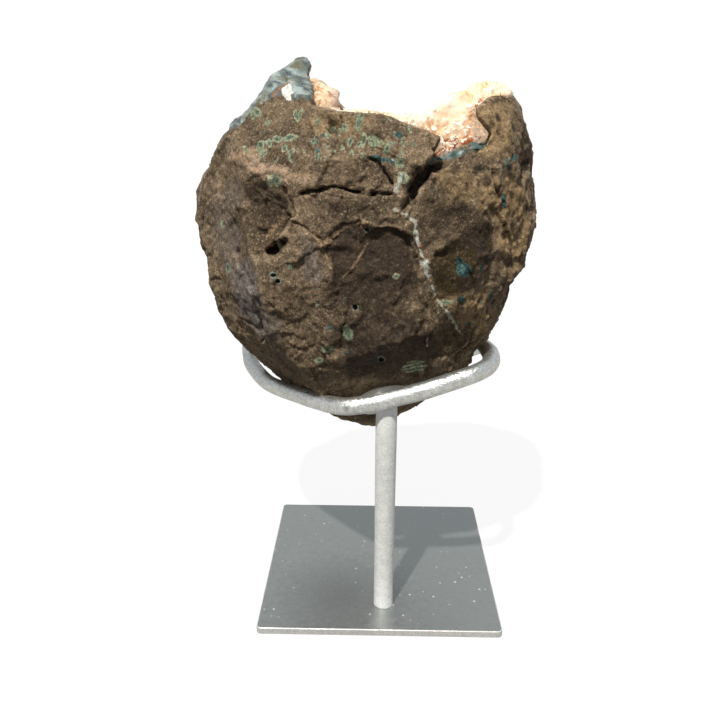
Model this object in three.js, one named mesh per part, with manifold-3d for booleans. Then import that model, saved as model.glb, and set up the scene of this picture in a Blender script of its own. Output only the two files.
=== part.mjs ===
import * as THREE from "three";
import { mergeVertices } from "three/addons/utils/BufferGeometryUtils.js";
import Module from "manifold-3d";

// Stilbite specimen on a painted steel stand. Millimetres, +Z up, X to the right.
// The plate lies on z = 0 with its middle on the origin, and -Y is the near side.

// ---- driving dimensions ----------------------------------------------------
const PLATE = { side: 100, thick: 3, corner: 2, edge: 0.4 };
const POST = { x: 1.8, y: -32.7, diameter: 8.4, top: 99.5 };
const RING = { bar: 6.9, steps: 46, round: 10 };
const SEAT_GAP = 0.3;

// The ring is one bar bent by hand around the stone: its middle line, left to right.
const RING_PATH = [
  [-13.9, -35, 94.2], [-5.4, -36.3, 95.8], [3, -36.5, 98.1], [16, -38, 102.4], [27.1, -38, 106.4],
  [34.3, -36.5, 108.6], [39, -32, 109.2], [42.4, -24, 109.3], [44, -12, 108.2], [45.2, 5, 104.8],
  [46.8, 25, 99.6], [47.9, 42, 94.4], [47.3, 54, 89.6], [43.3, 61, 85.7], [34.6, 63.5, 84],
  [12.2, 64, 83.6], [-20, 64, 84], [-46, 62.5, 86.3], [-57.5, 58, 90.3], [-62.7, 50, 93.5],
  [-63.1, 42, 93.3], [-61.9, 35, 91.6], [-60, 28, 89.3], [-51, 10, 87.4], [-43, -1.5, 88.2],
  [-33.7, -13.5, 90], [-21.5, -28.6, 92.6],
];

// Weld beads on the ring: middle, half lengths, slope along X in degrees.
const WELDS = [
  { at: [0.2, -32.6, 98.2], half: [9.6, 3.6, 3.4], slope: 15 },
  { at: [7.6, -33.8, 100.2], half: [3.2, 2.6, 2.2], slope: 10 },
  { at: [-4.2, -33.8, 93.2], half: [3.8, 3, 2.2], slope: 8 },
];

// The stone: a blocky lump that fills this outline and bulges toward -Y and +Y.
const STONE = { middle: [-8, 15, 146], front: 59, back: 60, fullness: 2.3, detail: 8, rough: 2.1 };
const SIGHT_POINT = [-3.8, -307.6, 206.4];
const OUTLINE = [
  [-31.5, 221.5], [-34, 221], [-39.5, 217.3], [-45.3, 214.3], [-49, 208.2], [-55, 201], [-60.5, 197],
  [-67, 189.8], [-71.2, 181], [-75.8, 173], [-78, 166], [-79.2, 158.5], [-78, 150], [-75.5, 139.5],
  [-74, 130], [-71, 118], [-67.4, 110.5], [-57, 98.6], [-44.4, 85.2], [-26.5, 72.5], [-21.5, 69.6],
  [-17.5, 68], [-12.2, 66.4], [-8, 65.6], [-2, 65.7], [7, 69.4], [9.5, 71.4], [11.7, 72.2], [15, 75],
  [31, 86], [38.2, 93], [41.2, 102.6], [46, 106], [49.4, 114], [53.8, 126], [54, 131], [60.5, 139],
  [62.8, 160], [61.6, 176], [60.6, 186], [57.4, 193], [55, 199], [54.4, 204], [52.5, 207.2],
  [48.5, 209.7], [44, 212], [39, 212.6], [35.5, 212], [31.5, 209], [26.5, 208], [23.5, 204.8],
  [18.1, 201.3], [12.5, 200.4], [6, 201.4], [-2, 201.6], [-10, 201.8], [-19, 201.2], [-30, 203.5],
  [-29, 209], [-31, 215.5], [-29.5, 218],
];
// The crust may show a little further to the right of the left spire than the stone does.
const SPIRE_EDGE = [
  [-21.5, 203], [-19.6, 205.5], [-18.6, 207.6], [-21.4, 209.6], [-26.6, 213.2], [-28.4, 215.6], [-29.8, 218.2],
];
const CRUST_OUTLINE = [...OUTLINE.slice(0, OUTLINE.findIndex((point) => point[0] === -30)), ...SPIRE_EDGE];
const CROWN = [[40, 222], [20, 229], [-5, 231], [-28, 229]];

// Broken faces: heading from the near side toward +X, lift above level, depth of the break.
const BREAKS = [
  [-55, 4, 12], [-50, -18, 8], [-38, 32, 4], [2, 24, 3.2], [-22, 26, 2.8], [0, 5, 1.8], [-16, 4, 1.8],
  [-18, -14, 2], [4, -14, 1.8], [8, -36, 2.4], [-28, -36, 2.4], [30, -12, 2.4], [52, -24, 3.4],
  [22, 16, 2.4], [38, 2, 2.8], [66, 10, 3.6], [60, 36, 2.4], [-80, 24, 2.4], [-86, -16, 2.4], [84, -14, 2.4],
  [118, -8, 6], [160, 6, 7], [-165, -24, 6], [-128, 4, 6], [-112, -36, 5], [140, -44, 6],
  [-150, 30, 5], [150, 34, 5], [178, -60, 6], [20, -70, 4], [-60, -58, 5],
];
// Where the stone rests: a point on the ring's middle line, the way the face looks, spare room.
const SEATS = [
  { at: [-5.4, -36.3, 95.8], heading: -4, lift: -34, spare: 3.2 },
  { at: [27.1, -38, 106.4], heading: 8, lift: -36, spare: 3.5 },
  { at: [-38.5, -7.5, 89], heading: -50, lift: -38, spare: 0 },
  { at: [-62.5, 42, 93.3], heading: -96, lift: -36, spare: 0 },
  { at: [45.8, 15, 102.2], heading: 88, lift: -36, spare: 0 },
  { at: [-4, 64, 83.7], heading: 180, lift: -34, spare: 0 },
];

// The hollow: an egg that leans to the right as it rises, lined with the crust.
const HOLLOW = { middle: [-3, 18, 178], half: [42, 37, 56], lean: 0.22, detail: 4, rough: 1.2 };
const CRUST = { thick: 5.2, rough: 6, detail: 4 };

// Rim heights round the hollow, in degrees from +X toward +Y.
const RIM_CENTRE = [2, 18];
const STONE_RIM = [
  [0, 213], [25, 214], [45, 212], [65, 202], [85, 185], [110, 171], [135, 174], [155, 196],
  [172, 224], [188, 226], [205, 214], [225, 208], [250, 206], [270, 206], [300, 206], [325, 208],
];
const CRUST_RIM = [
  [0, 214], [25, 214], [45, 210], [65, 200], [85, 183], [110, 168.5], [135, 171.5], [155, 193],
  [172, 216], [188, 217], [205, 214], [225, 209], [245, 202], [270, 200.5], [290, 202.5],
  [305, 206], [320, 210], [340, 214],
];

// Scars cut from the near side: an outline in x and z, and the flat floor y = at + x*dx + (z-146)*dz.
const SCARS = [
  // middle hollow scar with a steep upper edge
  { rim: [[-21, 159], [-18.5, 162], [-14, 165], [-9, 166.5], [-5, 164], [3, 163.5], [9.5, 160.5], [12, 152],
    [13, 134], [-2, 126], [-18, 130], [-17.5, 142], [-19.5, 151]], at: -41.4, dx: 0.02, dz: 0.1 },
  // left recess, flush at its left side and deepest beside the slot
  { rim: [[-53, 178], [-36.8, 176.4], [-34.6, 170], [-33.6, 165], [-41, 154.5], [-44, 150], [-49, 152], [-52, 165]],
    at: -48.7, dx: -0.375, dz: 0.18 },
  // deep hole at the foot of the recess
  { rim: [[-35, 160], [-33.6, 157.6], [-40, 151.6], [-43.5, 152.4], [-41, 156]], at: -29, dx: 0, dz: 0 },
  // slot between the recess and the middle
  { rim: [[-33.6, 175], [-31.6, 174], [-31.8, 170], [-33.8, 164], [-35.8, 165], [-34.6, 170]],
    at: -30.5, dx: 0, dz: 0 },
  // three-cornered scar above the ledge
  { rim: [[-15, 179.5], [-5.6, 188.6], [3.4, 180], [3, 175.6], [-15, 176.4]], at: -45.4, dx: 0.02, dz: 0.2 },
  // ledge: a thin crack under the upper slab
  { rim: [[-34, 174.6], [-28, 176.4], [-22, 177.5], [-17.5, 178.3], [-12, 177.2], [-7, 177], [3.6, 176],
    [3.4, 174.8], [-7, 174.8], [-12, 175.8], [-17.5, 177], [-22, 176.4], [-28, 175], [-33.6, 173.6]],
    at: -33, dx: 0, dz: 0 },
  // face under the ledge, set back from the slab and tilted up
  { rim: [[-33, 174.6], [-22, 177], [-7, 175.8], [3.4, 175.6], [7, 169], [6, 156], [-9, 154], [-21, 152],
    [-31, 158]], at: -45.4, dx: 0.02, dz: 0.2 },
  // deep groove on the right of the slab
  { rim: [[20.5, 194], [12, 184], [4.4, 171.4], [6.4, 168.6], [10, 175], [15, 180.5], [22, 185.6], [28, 190]],
    at: -50, dx: 0.16, dz: 0.6 },
  // olive scar low on the right
  { rim: [[15.8, 154], [38.6, 165], [42, 150], [32, 134], [15, 138]], at: -47.5, dx: 0.33, dz: 0.1 },
  // notch on the far right edge
  { rim: [[57, 181], [66, 185], [66, 174], [59, 176.5]], at: 4, dx: 0, dz: 0 },
  // thin crack low on the left
  { rim: [[-46.6, 132], [-45.4, 131], [-44.6, 126], [-43, 118], [-45, 119], [-46.6, 126]], at: -28, dx: 0, dz: 0 },
  // bite out of the lower right corner, above the ring
  { rim: [[26, 112], [38, 121], [47, 116], [40, 108], [33, 104]], at: -22, dx: 0.1, dz: 0.1 },
];

// The gap in the rim on the right, where the wall has broken off and the crust shows.
const RIM_GAP = {
  rim: [[2.5, 200.2], [7, 197.7], [10.5, 196.2], [20.5, 193], [15.5, 183.8], [17.6, 184.6], [28, 190], [35.8, 191],
    [38, 194], [33, 200], [32, 203], [36.5, 207], [42, 209.5], [40, 216], [0, 216]],
  to: 14,
};
// A small hole through the wall of the left spire.
const SPIRE_HOLE = { rim: [[-39, 211], [-37, 213], [-35.4, 210], [-35.6, 206.6], [-38, 206]], to: 22 };

// Gas bubbles that show as round pits: x, z, radius.
const PITS = [
  [-5.9, 163.8, 1.5], [-10, 135.3, 1.4], [-0.3, 114.1, 1.5], [-38.5, 143.3, 1.5], [-23.7, 137.1, 1.1],
];

// Crystals of the crust.
const CRYSTALS = { sheaves: 40, blades: 2, long: [10, 16], wide: [6.5, 10], thin: [2.6, 4.2], seed: 41 };
// Blades that stand at the inner side of the left spire: root, tip, width.
const SPIRE_BLADES = [
  [[-35, 15, 205], [-25.2, 13, 212.2], 5], [[-33, 13, 204], [-19.2, 13, 207.4], 4.6],
  [[-32, 12, 200], [-19.8, 12, 203.4], 5], [[-35, 15.5, 207], [-27, 13.6, 213.8], 5.4],
  [[-35.5, 15, 210], [-29.8, 13.6, 217.2], 5],
];

const COLOURS = {
  steel: 0xa9adab, stone: 0x5b4c40, crust: 0xf3dcc4,
};

// ---- small helpers -----------------------------------------------------------
const wasm = await Module();
wasm.setup();
const { Manifold, Mesh } = wasm;

function solidOf(geometry) {
  const bare = geometry.clone();
  bare.deleteAttribute("normal");
  bare.deleteAttribute("uv");
  const merged = mergeVertices(bare, 1e-4);
  const mesh = new Mesh({
    numProp: 3,
    vertProperties: new Float32Array(merged.attributes.position.array),
    triVerts: new Uint32Array(merged.index.array),
  });
  return new Manifold(mesh);
}

function meshOf(name, solid, colour, roughness, metalness) {
  const data = solid.getMesh();
  const geometry = new THREE.BufferGeometry();
  geometry.setAttribute("position", new THREE.BufferAttribute(new Float32Array(data.vertProperties), 3));
  geometry.setIndex(new THREE.BufferAttribute(new Uint32Array(data.triVerts), 1));
  geometry.computeVertexNormals();
  const material = new THREE.MeshStandardMaterial({ color: colour, roughness, metalness, flatShading: true });
  const mesh = new THREE.Mesh(geometry, material);
  mesh.name = name;
  return mesh;
}

function randomFrom(seed) {
  let state = seed;
  return () => {
    state = (state * 1664525 + 1013904223) % 4294967296;
    return state / 4294967296;
  };
}

function latticeValue(ix, iy, iz) {
  const mixed = Math.sin(ix * 127.1 + iy * 311.7 + iz * 74.7) * 43758.5453;
  return (mixed - Math.floor(mixed)) * 2 - 1;
}

// Smooth noise from -1 to 1; size is the spacing of its lumps in mm.
function noise(p, size) {
  const q = [p.x / size, p.y / size, p.z / size];
  const base = q.map(Math.floor);
  const part = q.map((value, i) => value - base[i]);
  const ease = part.map((t) => t * t * (3 - 2 * t));
  let total = 0;
  for (let corner = 0; corner < 8; corner += 1) {
    const step = [corner & 1, (corner >> 1) & 1, (corner >> 2) & 1];
    let weight = 1;
    for (let i = 0; i < 3; i += 1) {
      weight *= step[i] ? ease[i] : 1 - ease[i];
    }
    total += weight * latticeValue(base[0] + step[0], base[1] + step[1], base[2] + step[2]);
  }
  return total;
}

function moveEach(geometry, change) {
  const place = geometry.attributes.position;
  const point = new THREE.Vector3();
  for (let i = 0; i < place.count; i += 1) {
    point.fromBufferAttribute(place, i);
    change(point);
    place.setXYZ(i, point.x, point.y, point.z);
  }
  return geometry;
}

// Radius of a closed outline from a middle point, along a direction.
function outlineRadius(outline, middle, angle) {
  const dx = Math.cos(angle);
  const dz = Math.sin(angle);
  let reach = 0;
  outline.forEach((start, i) => {
    const end = outline[(i + 1) % outline.length];
    const ax = start[0] - middle[0];
    const az = start[1] - middle[2];
    const ex = end[0] - start[0];
    const ez = end[1] - start[1];
    const cross = dx * ez - dz * ex;
    if (Math.abs(cross) < 1e-9) return;
    const along = (ax * ez - az * ex) / cross;
    const share = (ax * dz - az * dx) / cross;
    if (share >= 0 && share <= 1 && along > reach) reach = along;
  });
  return reach;
}

function heightRound(table, x, y) {
  const turn = (Math.atan2(y - RIM_CENTRE[1], x - RIM_CENTRE[0]) * 180) / Math.PI;
  const angle = (turn + 360) % 360;
  for (let i = 0; i < table.length; i += 1) {
    const here = table[i];
    const next = table[(i + 1) % table.length];
    const width = (next[0] - here[0] + 360) % 360;
    const along = (angle - here[0] + 360) % 360;
    if (along < width) return here[1] + ((next[1] - here[1]) * along) / width;
  }
  return table[0][1];
}

// A lid that removes everything above a rim table, roughened so the rim looks broken.
function lidAbove(table, rough) {
  const rings = new THREE.LatheGeometry(
    [[0, 0], [16, 0], [26, 0], [34, 0], [42, 0], [52, 0], [64, 0], [90, 0], [90, 80], [0, 80]]
      .map(([r, h]) => new THREE.Vector2(r, h)), 36);
  rings.rotateX(Math.PI / 2);
  moveEach(rings, (p) => {
    const top = p.z > 40;
    p.x += RIM_CENTRE[0];
    p.y += RIM_CENTRE[1];
    const height = heightRound(table, p.x, p.y) + rough * noise(p, 9);
    p.z = top ? 260 : height;
  });
  return solidOf(rings);
}

// Whether a point stays inside an outline when seen from the sight point.
function insideOutline(outline, point) {
  const grow = (STONE.middle[1] - SIGHT_POINT[1]) / (point.y - SIGHT_POINT[1]);
  const x = SIGHT_POINT[0] + (point.x - SIGHT_POINT[0]) * grow;
  const z = SIGHT_POINT[2] + (point.z - SIGHT_POINT[2]) * grow;
  let inside = false;
  outline.forEach((start, i) => {
    const end = outline[(i + 1) % outline.length];
    const spans = (start[1] > z) !== (end[1] > z);
    if (spans && x < start[0] + ((end[0] - start[0]) * (z - start[1])) / (end[1] - start[1])) inside = !inside;
  });
  return inside;
}

// A prism cut along the line of sight, from the near side to the plane y = to.
function sightPrism(outline, planeY, from, to) {
  const shape = new THREE.Shape(outline.map(([x, z]) => new THREE.Vector2(x, z)));
  const prism = new THREE.ExtrudeGeometry(shape, { depth: 1, bevelEnabled: false });
  moveEach(prism, (p) => {
    const y = p.z < 0.5 ? from : to;
    const grow = (y - SIGHT_POINT[1]) / (planeY - SIGHT_POINT[1]);
    const x = SIGHT_POINT[0] + (p.x - SIGHT_POINT[0]) * grow;
    const z = SIGHT_POINT[2] + (p.y - SIGHT_POINT[2]) * grow;
    p.set(x, y, z);
  });
  return rightWayOut(prism);
}

function scarCutter(scar) {
  const shape = new THREE.Shape(scar.rim.map(([x, z]) => new THREE.Vector2(x, z)));
  const prism = new THREE.ExtrudeGeometry(shape, { depth: 1, bevelEnabled: false });
  moveEach(prism, (p) => {
    const floor = scar.at + p.x * scar.dx + (p.y - STONE.middle[2]) * scar.dz;
    p.set(p.x, p.z < 0.5 ? -90 : floor, p.y);
  });
  return rightWayOut(prism);
}

// Turns a closed surface the right way round if its faces point inward.
function rightWayOut(geometry) {
  const place = geometry.attributes.position;
  const a = new THREE.Vector3();
  const b = new THREE.Vector3();
  const c = new THREE.Vector3();
  let volume = 0;
  for (let i = 0; i < place.count; i += 3) {
    a.fromBufferAttribute(place, i);
    b.fromBufferAttribute(place, i + 1);
    c.fromBufferAttribute(place, i + 2);
    volume += a.dot(b.cross(c));
  }
  if (volume > 0) return solidOf(geometry);
  const flipped = geometry.clone();
  const turned = flipped.attributes.position;
  for (let i = 0; i < turned.count; i += 3) {
    a.fromBufferAttribute(turned, i + 1);
    b.fromBufferAttribute(turned, i + 2);
    turned.setXYZ(i + 1, b.x, b.y, b.z);
    turned.setXYZ(i + 2, a.x, a.y, a.z);
  }
  return solidOf(flipped);
}

// ---- the stand ---------------------------------------------------------------
function makePlate() {
  const half = PLATE.side / 2 - PLATE.edge;
  const shape = new THREE.Shape();
  shape.moveTo(-half + PLATE.corner, -half);
  shape.lineTo(half - PLATE.corner, -half);
  shape.absarc(half - PLATE.corner, -half + PLATE.corner, PLATE.corner, -Math.PI / 2, 0);
  shape.absarc(half - PLATE.corner, half - PLATE.corner, PLATE.corner, 0, Math.PI / 2);
  shape.absarc(-half + PLATE.corner, half - PLATE.corner, PLATE.corner, Math.PI / 2, Math.PI);
  shape.absarc(-half + PLATE.corner, -half + PLATE.corner, PLATE.corner, Math.PI, Math.PI * 1.5);
  const plate = new THREE.ExtrudeGeometry(shape, {
    depth: PLATE.thick - 2 * PLATE.edge,
    bevelEnabled: true,
    bevelSize: PLATE.edge,
    bevelThickness: PLATE.edge,
    bevelSegments: 1,
    curveSegments: 3,
  });
  plate.translate(0, 0, PLATE.edge);
  return solidOf(plate);
}

function ringTube(radius) {
  const path = new THREE.CatmullRomCurve3(RING_PATH.map((p) => new THREE.Vector3(...p)), true, "centripetal");
  return solidOf(new THREE.TubeGeometry(path, RING.steps, radius, RING.round, true));
}

function weldBeads(extra) {
  return WELDS.map((weld) => {
    const bead = new THREE.IcosahedronGeometry(1, 1);
    bead.scale(weld.half[0] + extra, weld.half[1] + extra, weld.half[2] + extra);
    bead.rotateY((-weld.slope * Math.PI) / 180);
    bead.translate(...weld.at);
    return solidOf(bead);
  });
}

function makeRing(extra) {
  return Manifold.union([ringTube(RING.bar / 2 + extra), ...weldBeads(extra)]);
}

function makePost(ringWithGap) {
  const height = POST.top - PLATE.thick;
  const bar = new THREE.CylinderGeometry(POST.diameter / 2, POST.diameter / 2, height, 24, 1);
  bar.rotateX(Math.PI / 2);
  bar.translate(POST.x, POST.y, PLATE.thick + height / 2);
  const pieces = solidOf(bar).subtract(ringWithGap).decompose();
  pieces.sort((one, other) => other.volume() - one.volume());
  return pieces[0];
}

// ---- the stone ---------------------------------------------------------------
function stoneLump() {
  const middle = STONE.middle;
  const side = OUTLINE.slice(0, OUTLINE.findIndex((point) => point[0] === 55) + 1);
  const outline = [...side, ...CROWN];
  const lump = new THREE.IcosahedronGeometry(1, STONE.detail);
  moveEach(lump, (p) => {
    const deep = Math.min(1, Math.abs(p.y));
    const spread = Math.pow(1 - Math.pow(deep, STONE.fullness), 1 / STONE.fullness);
    const angle = Math.atan2(p.z, p.x);
    const reach = outlineRadius(outline, middle, angle) + 1.2;
    const depth = p.y < 0 ? STONE.front : STONE.back;
    const flat = Math.hypot(p.x, p.z);
    const shade = flat > 1e-6 ? spread : 0;
    const y = Math.pow(deep, 0.92) * Math.sign(p.y) * depth;
    p.set(middle[0] + Math.cos(angle) * reach * shade, middle[1] + y, middle[2] + Math.sin(angle) * reach * shade);
    const bump = STONE.rough * (noise(p, 19) + 0.5 * noise(p, 8));
    const out = new THREE.Vector3(p.x - middle[0], p.y - middle[1], p.z - middle[2]).normalize();
    p.addScaledVector(out, bump);
  });
  return solidOf(lump);
}

function outwardWay(heading, lift) {
  const across = (heading * Math.PI) / 180;
  const up = (lift * Math.PI) / 180;
  return new THREE.Vector3(
    Math.sin(across) * Math.cos(up), -Math.cos(across) * Math.cos(up), Math.sin(up));
}

// How far a solid reaches from the stone's middle in one direction.
function reachOf(solid, outward) {
  const place = solid.getMesh().vertProperties;
  let reach = 0;
  for (let i = 0; i < place.length; i += 3) {
    const p = [0, 1, 2].map((k) => place[i + k] - STONE.middle[k]);
    reach = Math.max(reach, p[0] * outward.x + p[1] * outward.y + p[2] * outward.z);
  }
  return reach;
}

// A big block whose near face is the broken plane.
function breakBlock(outward, reach) {
  const block = new THREE.BoxGeometry(300, 300, 100);
  block.translate(0, 0, 50 + reach);
  block.applyQuaternion(new THREE.Quaternion().setFromUnitVectors(new THREE.Vector3(0, 0, 1), outward));
  block.translate(...STONE.middle);
  return solidOf(block);
}

// The egg of the hollow, shrunk; points is how far its crystals stand in from it.
function hollowShape(shrink, points, detail) {
  const egg = new THREE.IcosahedronGeometry(1, detail);
  moveEach(egg, (p) => {
    const out = p.clone();
    p.set(p.x * (HOLLOW.half[0] - shrink), p.y * (HOLLOW.half[1] - shrink), p.z * (HOLLOW.half[2] - shrink));
    p.x += HOLLOW.middle[0] + HOLLOW.lean * p.z;
    p.y += HOLLOW.middle[1];
    p.z += HOLLOW.middle[2];
    const wave = HOLLOW.rough * noise(new THREE.Vector3(out.x * 45, out.y * 45, out.z * 45), 16);
    const cell = [out.x, out.y, out.z].map((value) => Math.round(value * 50));
    p.addScaledVector(out, wave - points * Math.max(0, latticeValue(...cell)));
  });
  return solidOf(egg);
}

function makeStone(hollow, ringWithGap) {
  const lumpWhole = stoneLump();
  let stone = lumpWhole.intersect(sightPrism(OUTLINE, STONE.middle[1], -100, 140));
  const cutters = BREAKS.map(([heading, lift, depth]) => {
    const outward = outwardWay(heading, lift);
    return breakBlock(outward, reachOf(lumpWhole, outward) - depth);
  });
  SEATS.forEach((seat) => {
    const outward = outwardWay(seat.heading, seat.lift);
    const bar = new THREE.Vector3(...seat.at).sub(new THREE.Vector3(...STONE.middle)).dot(outward);
    cutters.push(breakBlock(outward, bar - RING.bar / 2 - SEAT_GAP - seat.spare));
  });
  cutters.push(hollow);
  cutters.push(lidAbove(STONE_RIM, 1.2));
  cutters.push(sightPrism(RIM_GAP.rim, -18, -90, RIM_GAP.to));
  cutters.push(sightPrism(SPIRE_HOLE.rim, 13, -60, SPIRE_HOLE.to));
  SCARS.forEach((scar) => cutters.push(scarCutter(scar)));
  stone = stone.subtract(Manifold.union(cutters));
  PITS.forEach(([x, z, radius]) => {
    const face = nearestFront(stone, x, z);
    const pit = new THREE.IcosahedronGeometry(radius, 1);
    pit.translate(x, face - radius * 0.1, z);
    stone = stone.subtract(solidOf(pit));
  });
  stone = stone.subtract(ringWithGap);
  return largestPiece(stone).simplify(0.15);
}

function largestPiece(solid) {
  const pieces = solid.decompose();
  pieces.sort((one, other) => other.volume() - one.volume());
  return pieces[0];
}

// The y of the near face of a solid along a straight line at x, z.
function nearestFront(solid, x, z) {
  const data = solid.getMesh();
  const place = data.vertProperties;
  let best = 0;
  for (let i = 0; i < data.triVerts.length; i += 3) {
    const [a, b, c] = [0, 1, 2].map((k) => {
      const v = data.triVerts[i + k] * 3;
      return [place[v], place[v + 1], place[v + 2]];
    });
    const area = (b[0] - a[0]) * (c[2] - a[2]) - (c[0] - a[0]) * (b[2] - a[2]);
    if (Math.abs(area) < 1e-9) continue;
    const u = ((x - a[0]) * (c[2] - a[2]) - (c[0] - a[0]) * (z - a[2])) / area;
    const v = ((b[0] - a[0]) * (z - a[2]) - (x - a[0]) * (b[2] - a[2])) / area;
    if (u < 0 || v < 0 || u + v > 1) continue;
    const y = a[1] + u * (b[1] - a[1]) + v * (c[1] - a[1]);
    if (y < best) best = y;
  }
  return best;
}

// ---- the crust ---------------------------------------------------------------
// One blade: flat, widest near its tip and ended by a blunt point, as stilbite grows.
function bladeSolid(root, tip, wide, thin, twist) {
  const profile = [[0, 0], [0.62, 0], [1, 0.76], [0, 1]];
  const blade = new THREE.LatheGeometry(profile.map(([r, h]) => new THREE.Vector2(r, h)), 6);
  const along = new THREE.Vector3().subVectors(tip, root);
  blade.scale(wide / 2, along.length(), thin / 2);
  blade.rotateY(twist);
  blade.applyQuaternion(
    new THREE.Quaternion().setFromUnitVectors(new THREE.Vector3(0, 1, 0), along.clone().normalize()));
  blade.translate(root.x, root.y, root.z);
  return rightWayOut(blade.toNonIndexed());
}

function sheaves(random) {
  const blades = [];
  const golden = Math.PI * (3 - Math.sqrt(5));
  for (let i = 0; i < CRYSTALS.sheaves; i += 1) {
    const level = -0.96 + (1.66 * (i + 0.5)) / CRYSTALS.sheaves;
    const turn = i * golden + random() * 0.5;
    const flat = Math.sqrt(1 - level * level);
    const out = new THREE.Vector3(Math.cos(turn) * flat, Math.sin(turn) * flat, level);
    const half = HOLLOW.half.map((value) => value - CRUST.thick + 1.5);
    const root = new THREE.Vector3(
      HOLLOW.middle[0] + out.x * half[0] + HOLLOW.lean * out.z * half[2],
      HOLLOW.middle[1] + out.y * half[1],
      HOLLOW.middle[2] + out.z * half[2]);
    if (root.z > heightRound(CRUST_RIM, root.x, root.y) - 3) continue;
    for (let k = 0; k < CRYSTALS.blades; k += 1) {
      const tilt = new THREE.Vector3(random() - 0.5, random() - 0.5, random() - 0.35).multiplyScalar(1.25);
      const way = out.clone().negate().add(tilt).normalize();
      const long = THREE.MathUtils.lerp(...CRYSTALS.long, random());
      const tip = root.clone().addScaledVector(way, long);
      if (tip.z > heightRound(CRUST_RIM, tip.x, tip.y) + 1) continue;
      const above = tip.clone().add(new THREE.Vector3(0, 0, 1.5));
      if (!insideOutline(CRUST_OUTLINE, above)) continue;
      const wide = THREE.MathUtils.lerp(...CRYSTALS.wide, random());
      const thin = THREE.MathUtils.lerp(...CRYSTALS.thin, random());
      blades.push(bladeSolid(root, tip, wide, thin, random() * Math.PI));
    }
  }
  return blades;
}

function makeCrust() {
  const random = randomFrom(CRYSTALS.seed);
  const outer = hollowShape(SEAT_GAP, 0, HOLLOW.detail);
  const inner = hollowShape(CRUST.thick, CRUST.rough, CRUST.detail);
  const sight = sightPrism(CRUST_OUTLINE, STONE.middle[1], -100, 140);
  const shell = outer.subtract(inner).subtract(lidAbove(CRUST_RIM, 1.2)).intersect(sight);
  const blades = sheaves(random);
  SPIRE_BLADES.forEach(([root, tip, wide]) => {
    blades.push(bladeSolid(new THREE.Vector3(...root), new THREE.Vector3(...tip), wide, 2.4, random() * 0.6));
  });
  const whole = Manifold.union([shell, ...blades]).intersect(hollowShape(SEAT_GAP, 0, HOLLOW.detail));
  return largestPiece(whole).simplify(0.15);
}

// ---- the part ----------------------------------------------------------------
const group = new THREE.Group();
group.name = "stilbite_specimen";
const ringWithGap = makeRing(SEAT_GAP);
const hollow = hollowShape(0, 0, HOLLOW.detail);
const stone = makeStone(hollow, ringWithGap);
group.add(meshOf("base_plate", makePlate(), COLOURS.steel, 0.45, 0.6));
group.add(meshOf("post", makePost(ringWithGap), COLOURS.steel, 0.45, 0.6));
group.add(meshOf("support_ring", makeRing(0), COLOURS.steel, 0.45, 0.6));
group.add(meshOf("basalt_matrix", stone, COLOURS.stone, 0.9, 0));
group.add(meshOf("stilbite_crust", makeCrust(), COLOURS.crust, 0.5, 0));

export default group;
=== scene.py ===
"""A stilbite specimen on a painted steel stand: a broken basalt nodule, lined with crystals."""
import math
import random

import bmesh
import bpy
import numpy as np
from bpy.props import FloatProperty, FloatVectorProperty, IntProperty, PointerProperty
from mathutils import Matrix, Vector
from mathutils.bvhtree import BVHTree


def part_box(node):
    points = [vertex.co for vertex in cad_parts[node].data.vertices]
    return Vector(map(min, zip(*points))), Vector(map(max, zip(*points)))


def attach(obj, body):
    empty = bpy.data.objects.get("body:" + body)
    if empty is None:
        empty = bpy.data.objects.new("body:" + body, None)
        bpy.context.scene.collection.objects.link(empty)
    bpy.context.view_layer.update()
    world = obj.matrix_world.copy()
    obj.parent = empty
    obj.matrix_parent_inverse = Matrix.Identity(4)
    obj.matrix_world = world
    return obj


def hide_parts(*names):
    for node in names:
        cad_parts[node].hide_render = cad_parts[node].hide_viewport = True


bl_info = {
    "name": "Stilbite Specimen",
    "version": (1, 0, 0),
    "blender": (4, 5, 0),
    "location": "View3D > Sidebar > Specimen",
    "description": "Dresses the stilbite specimen and its stand and sets the stage",
    "category": "Object",
}

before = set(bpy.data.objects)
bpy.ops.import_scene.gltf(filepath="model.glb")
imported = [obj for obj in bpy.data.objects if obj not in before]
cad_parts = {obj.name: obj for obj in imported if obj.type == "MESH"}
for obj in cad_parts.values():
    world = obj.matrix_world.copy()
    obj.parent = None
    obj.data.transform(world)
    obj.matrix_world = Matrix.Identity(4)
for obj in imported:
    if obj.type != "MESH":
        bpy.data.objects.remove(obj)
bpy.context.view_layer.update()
MM = 0.001

# ---- places, all in millimetres -------------------------------------------------
# The near side of the stone is laid out as it is seen from EYE: each place is the x and z
# where the line of sight crosses the upright plane y = 15.
EYE = (-3.8, -307.6, 206.4)
PLANE_Y = 15.0
# The camera's place, the way it looks, its lens and sensor width, and the way the key light shines.
CAMERA_PLACE = (-3.809, -307.593, 206.37)
VIEW_FORWARD = (-0.01652, 0.94603, -0.32364)
VIEW_UP = (-0.01102, 0.32350, 0.94617)
LENS, SENSOR = 38.26, 36
KEY_LIGHT_WAY = (0.216, 0.543, -1.0)

# The hollow: an egg that leans to the right as it rises.
HOLLOW_MIDDLE = (-3, 18, 178)
HOLLOW_HALF = (42, 37, 56)
HOLLOW_LEAN = 0.22

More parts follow.
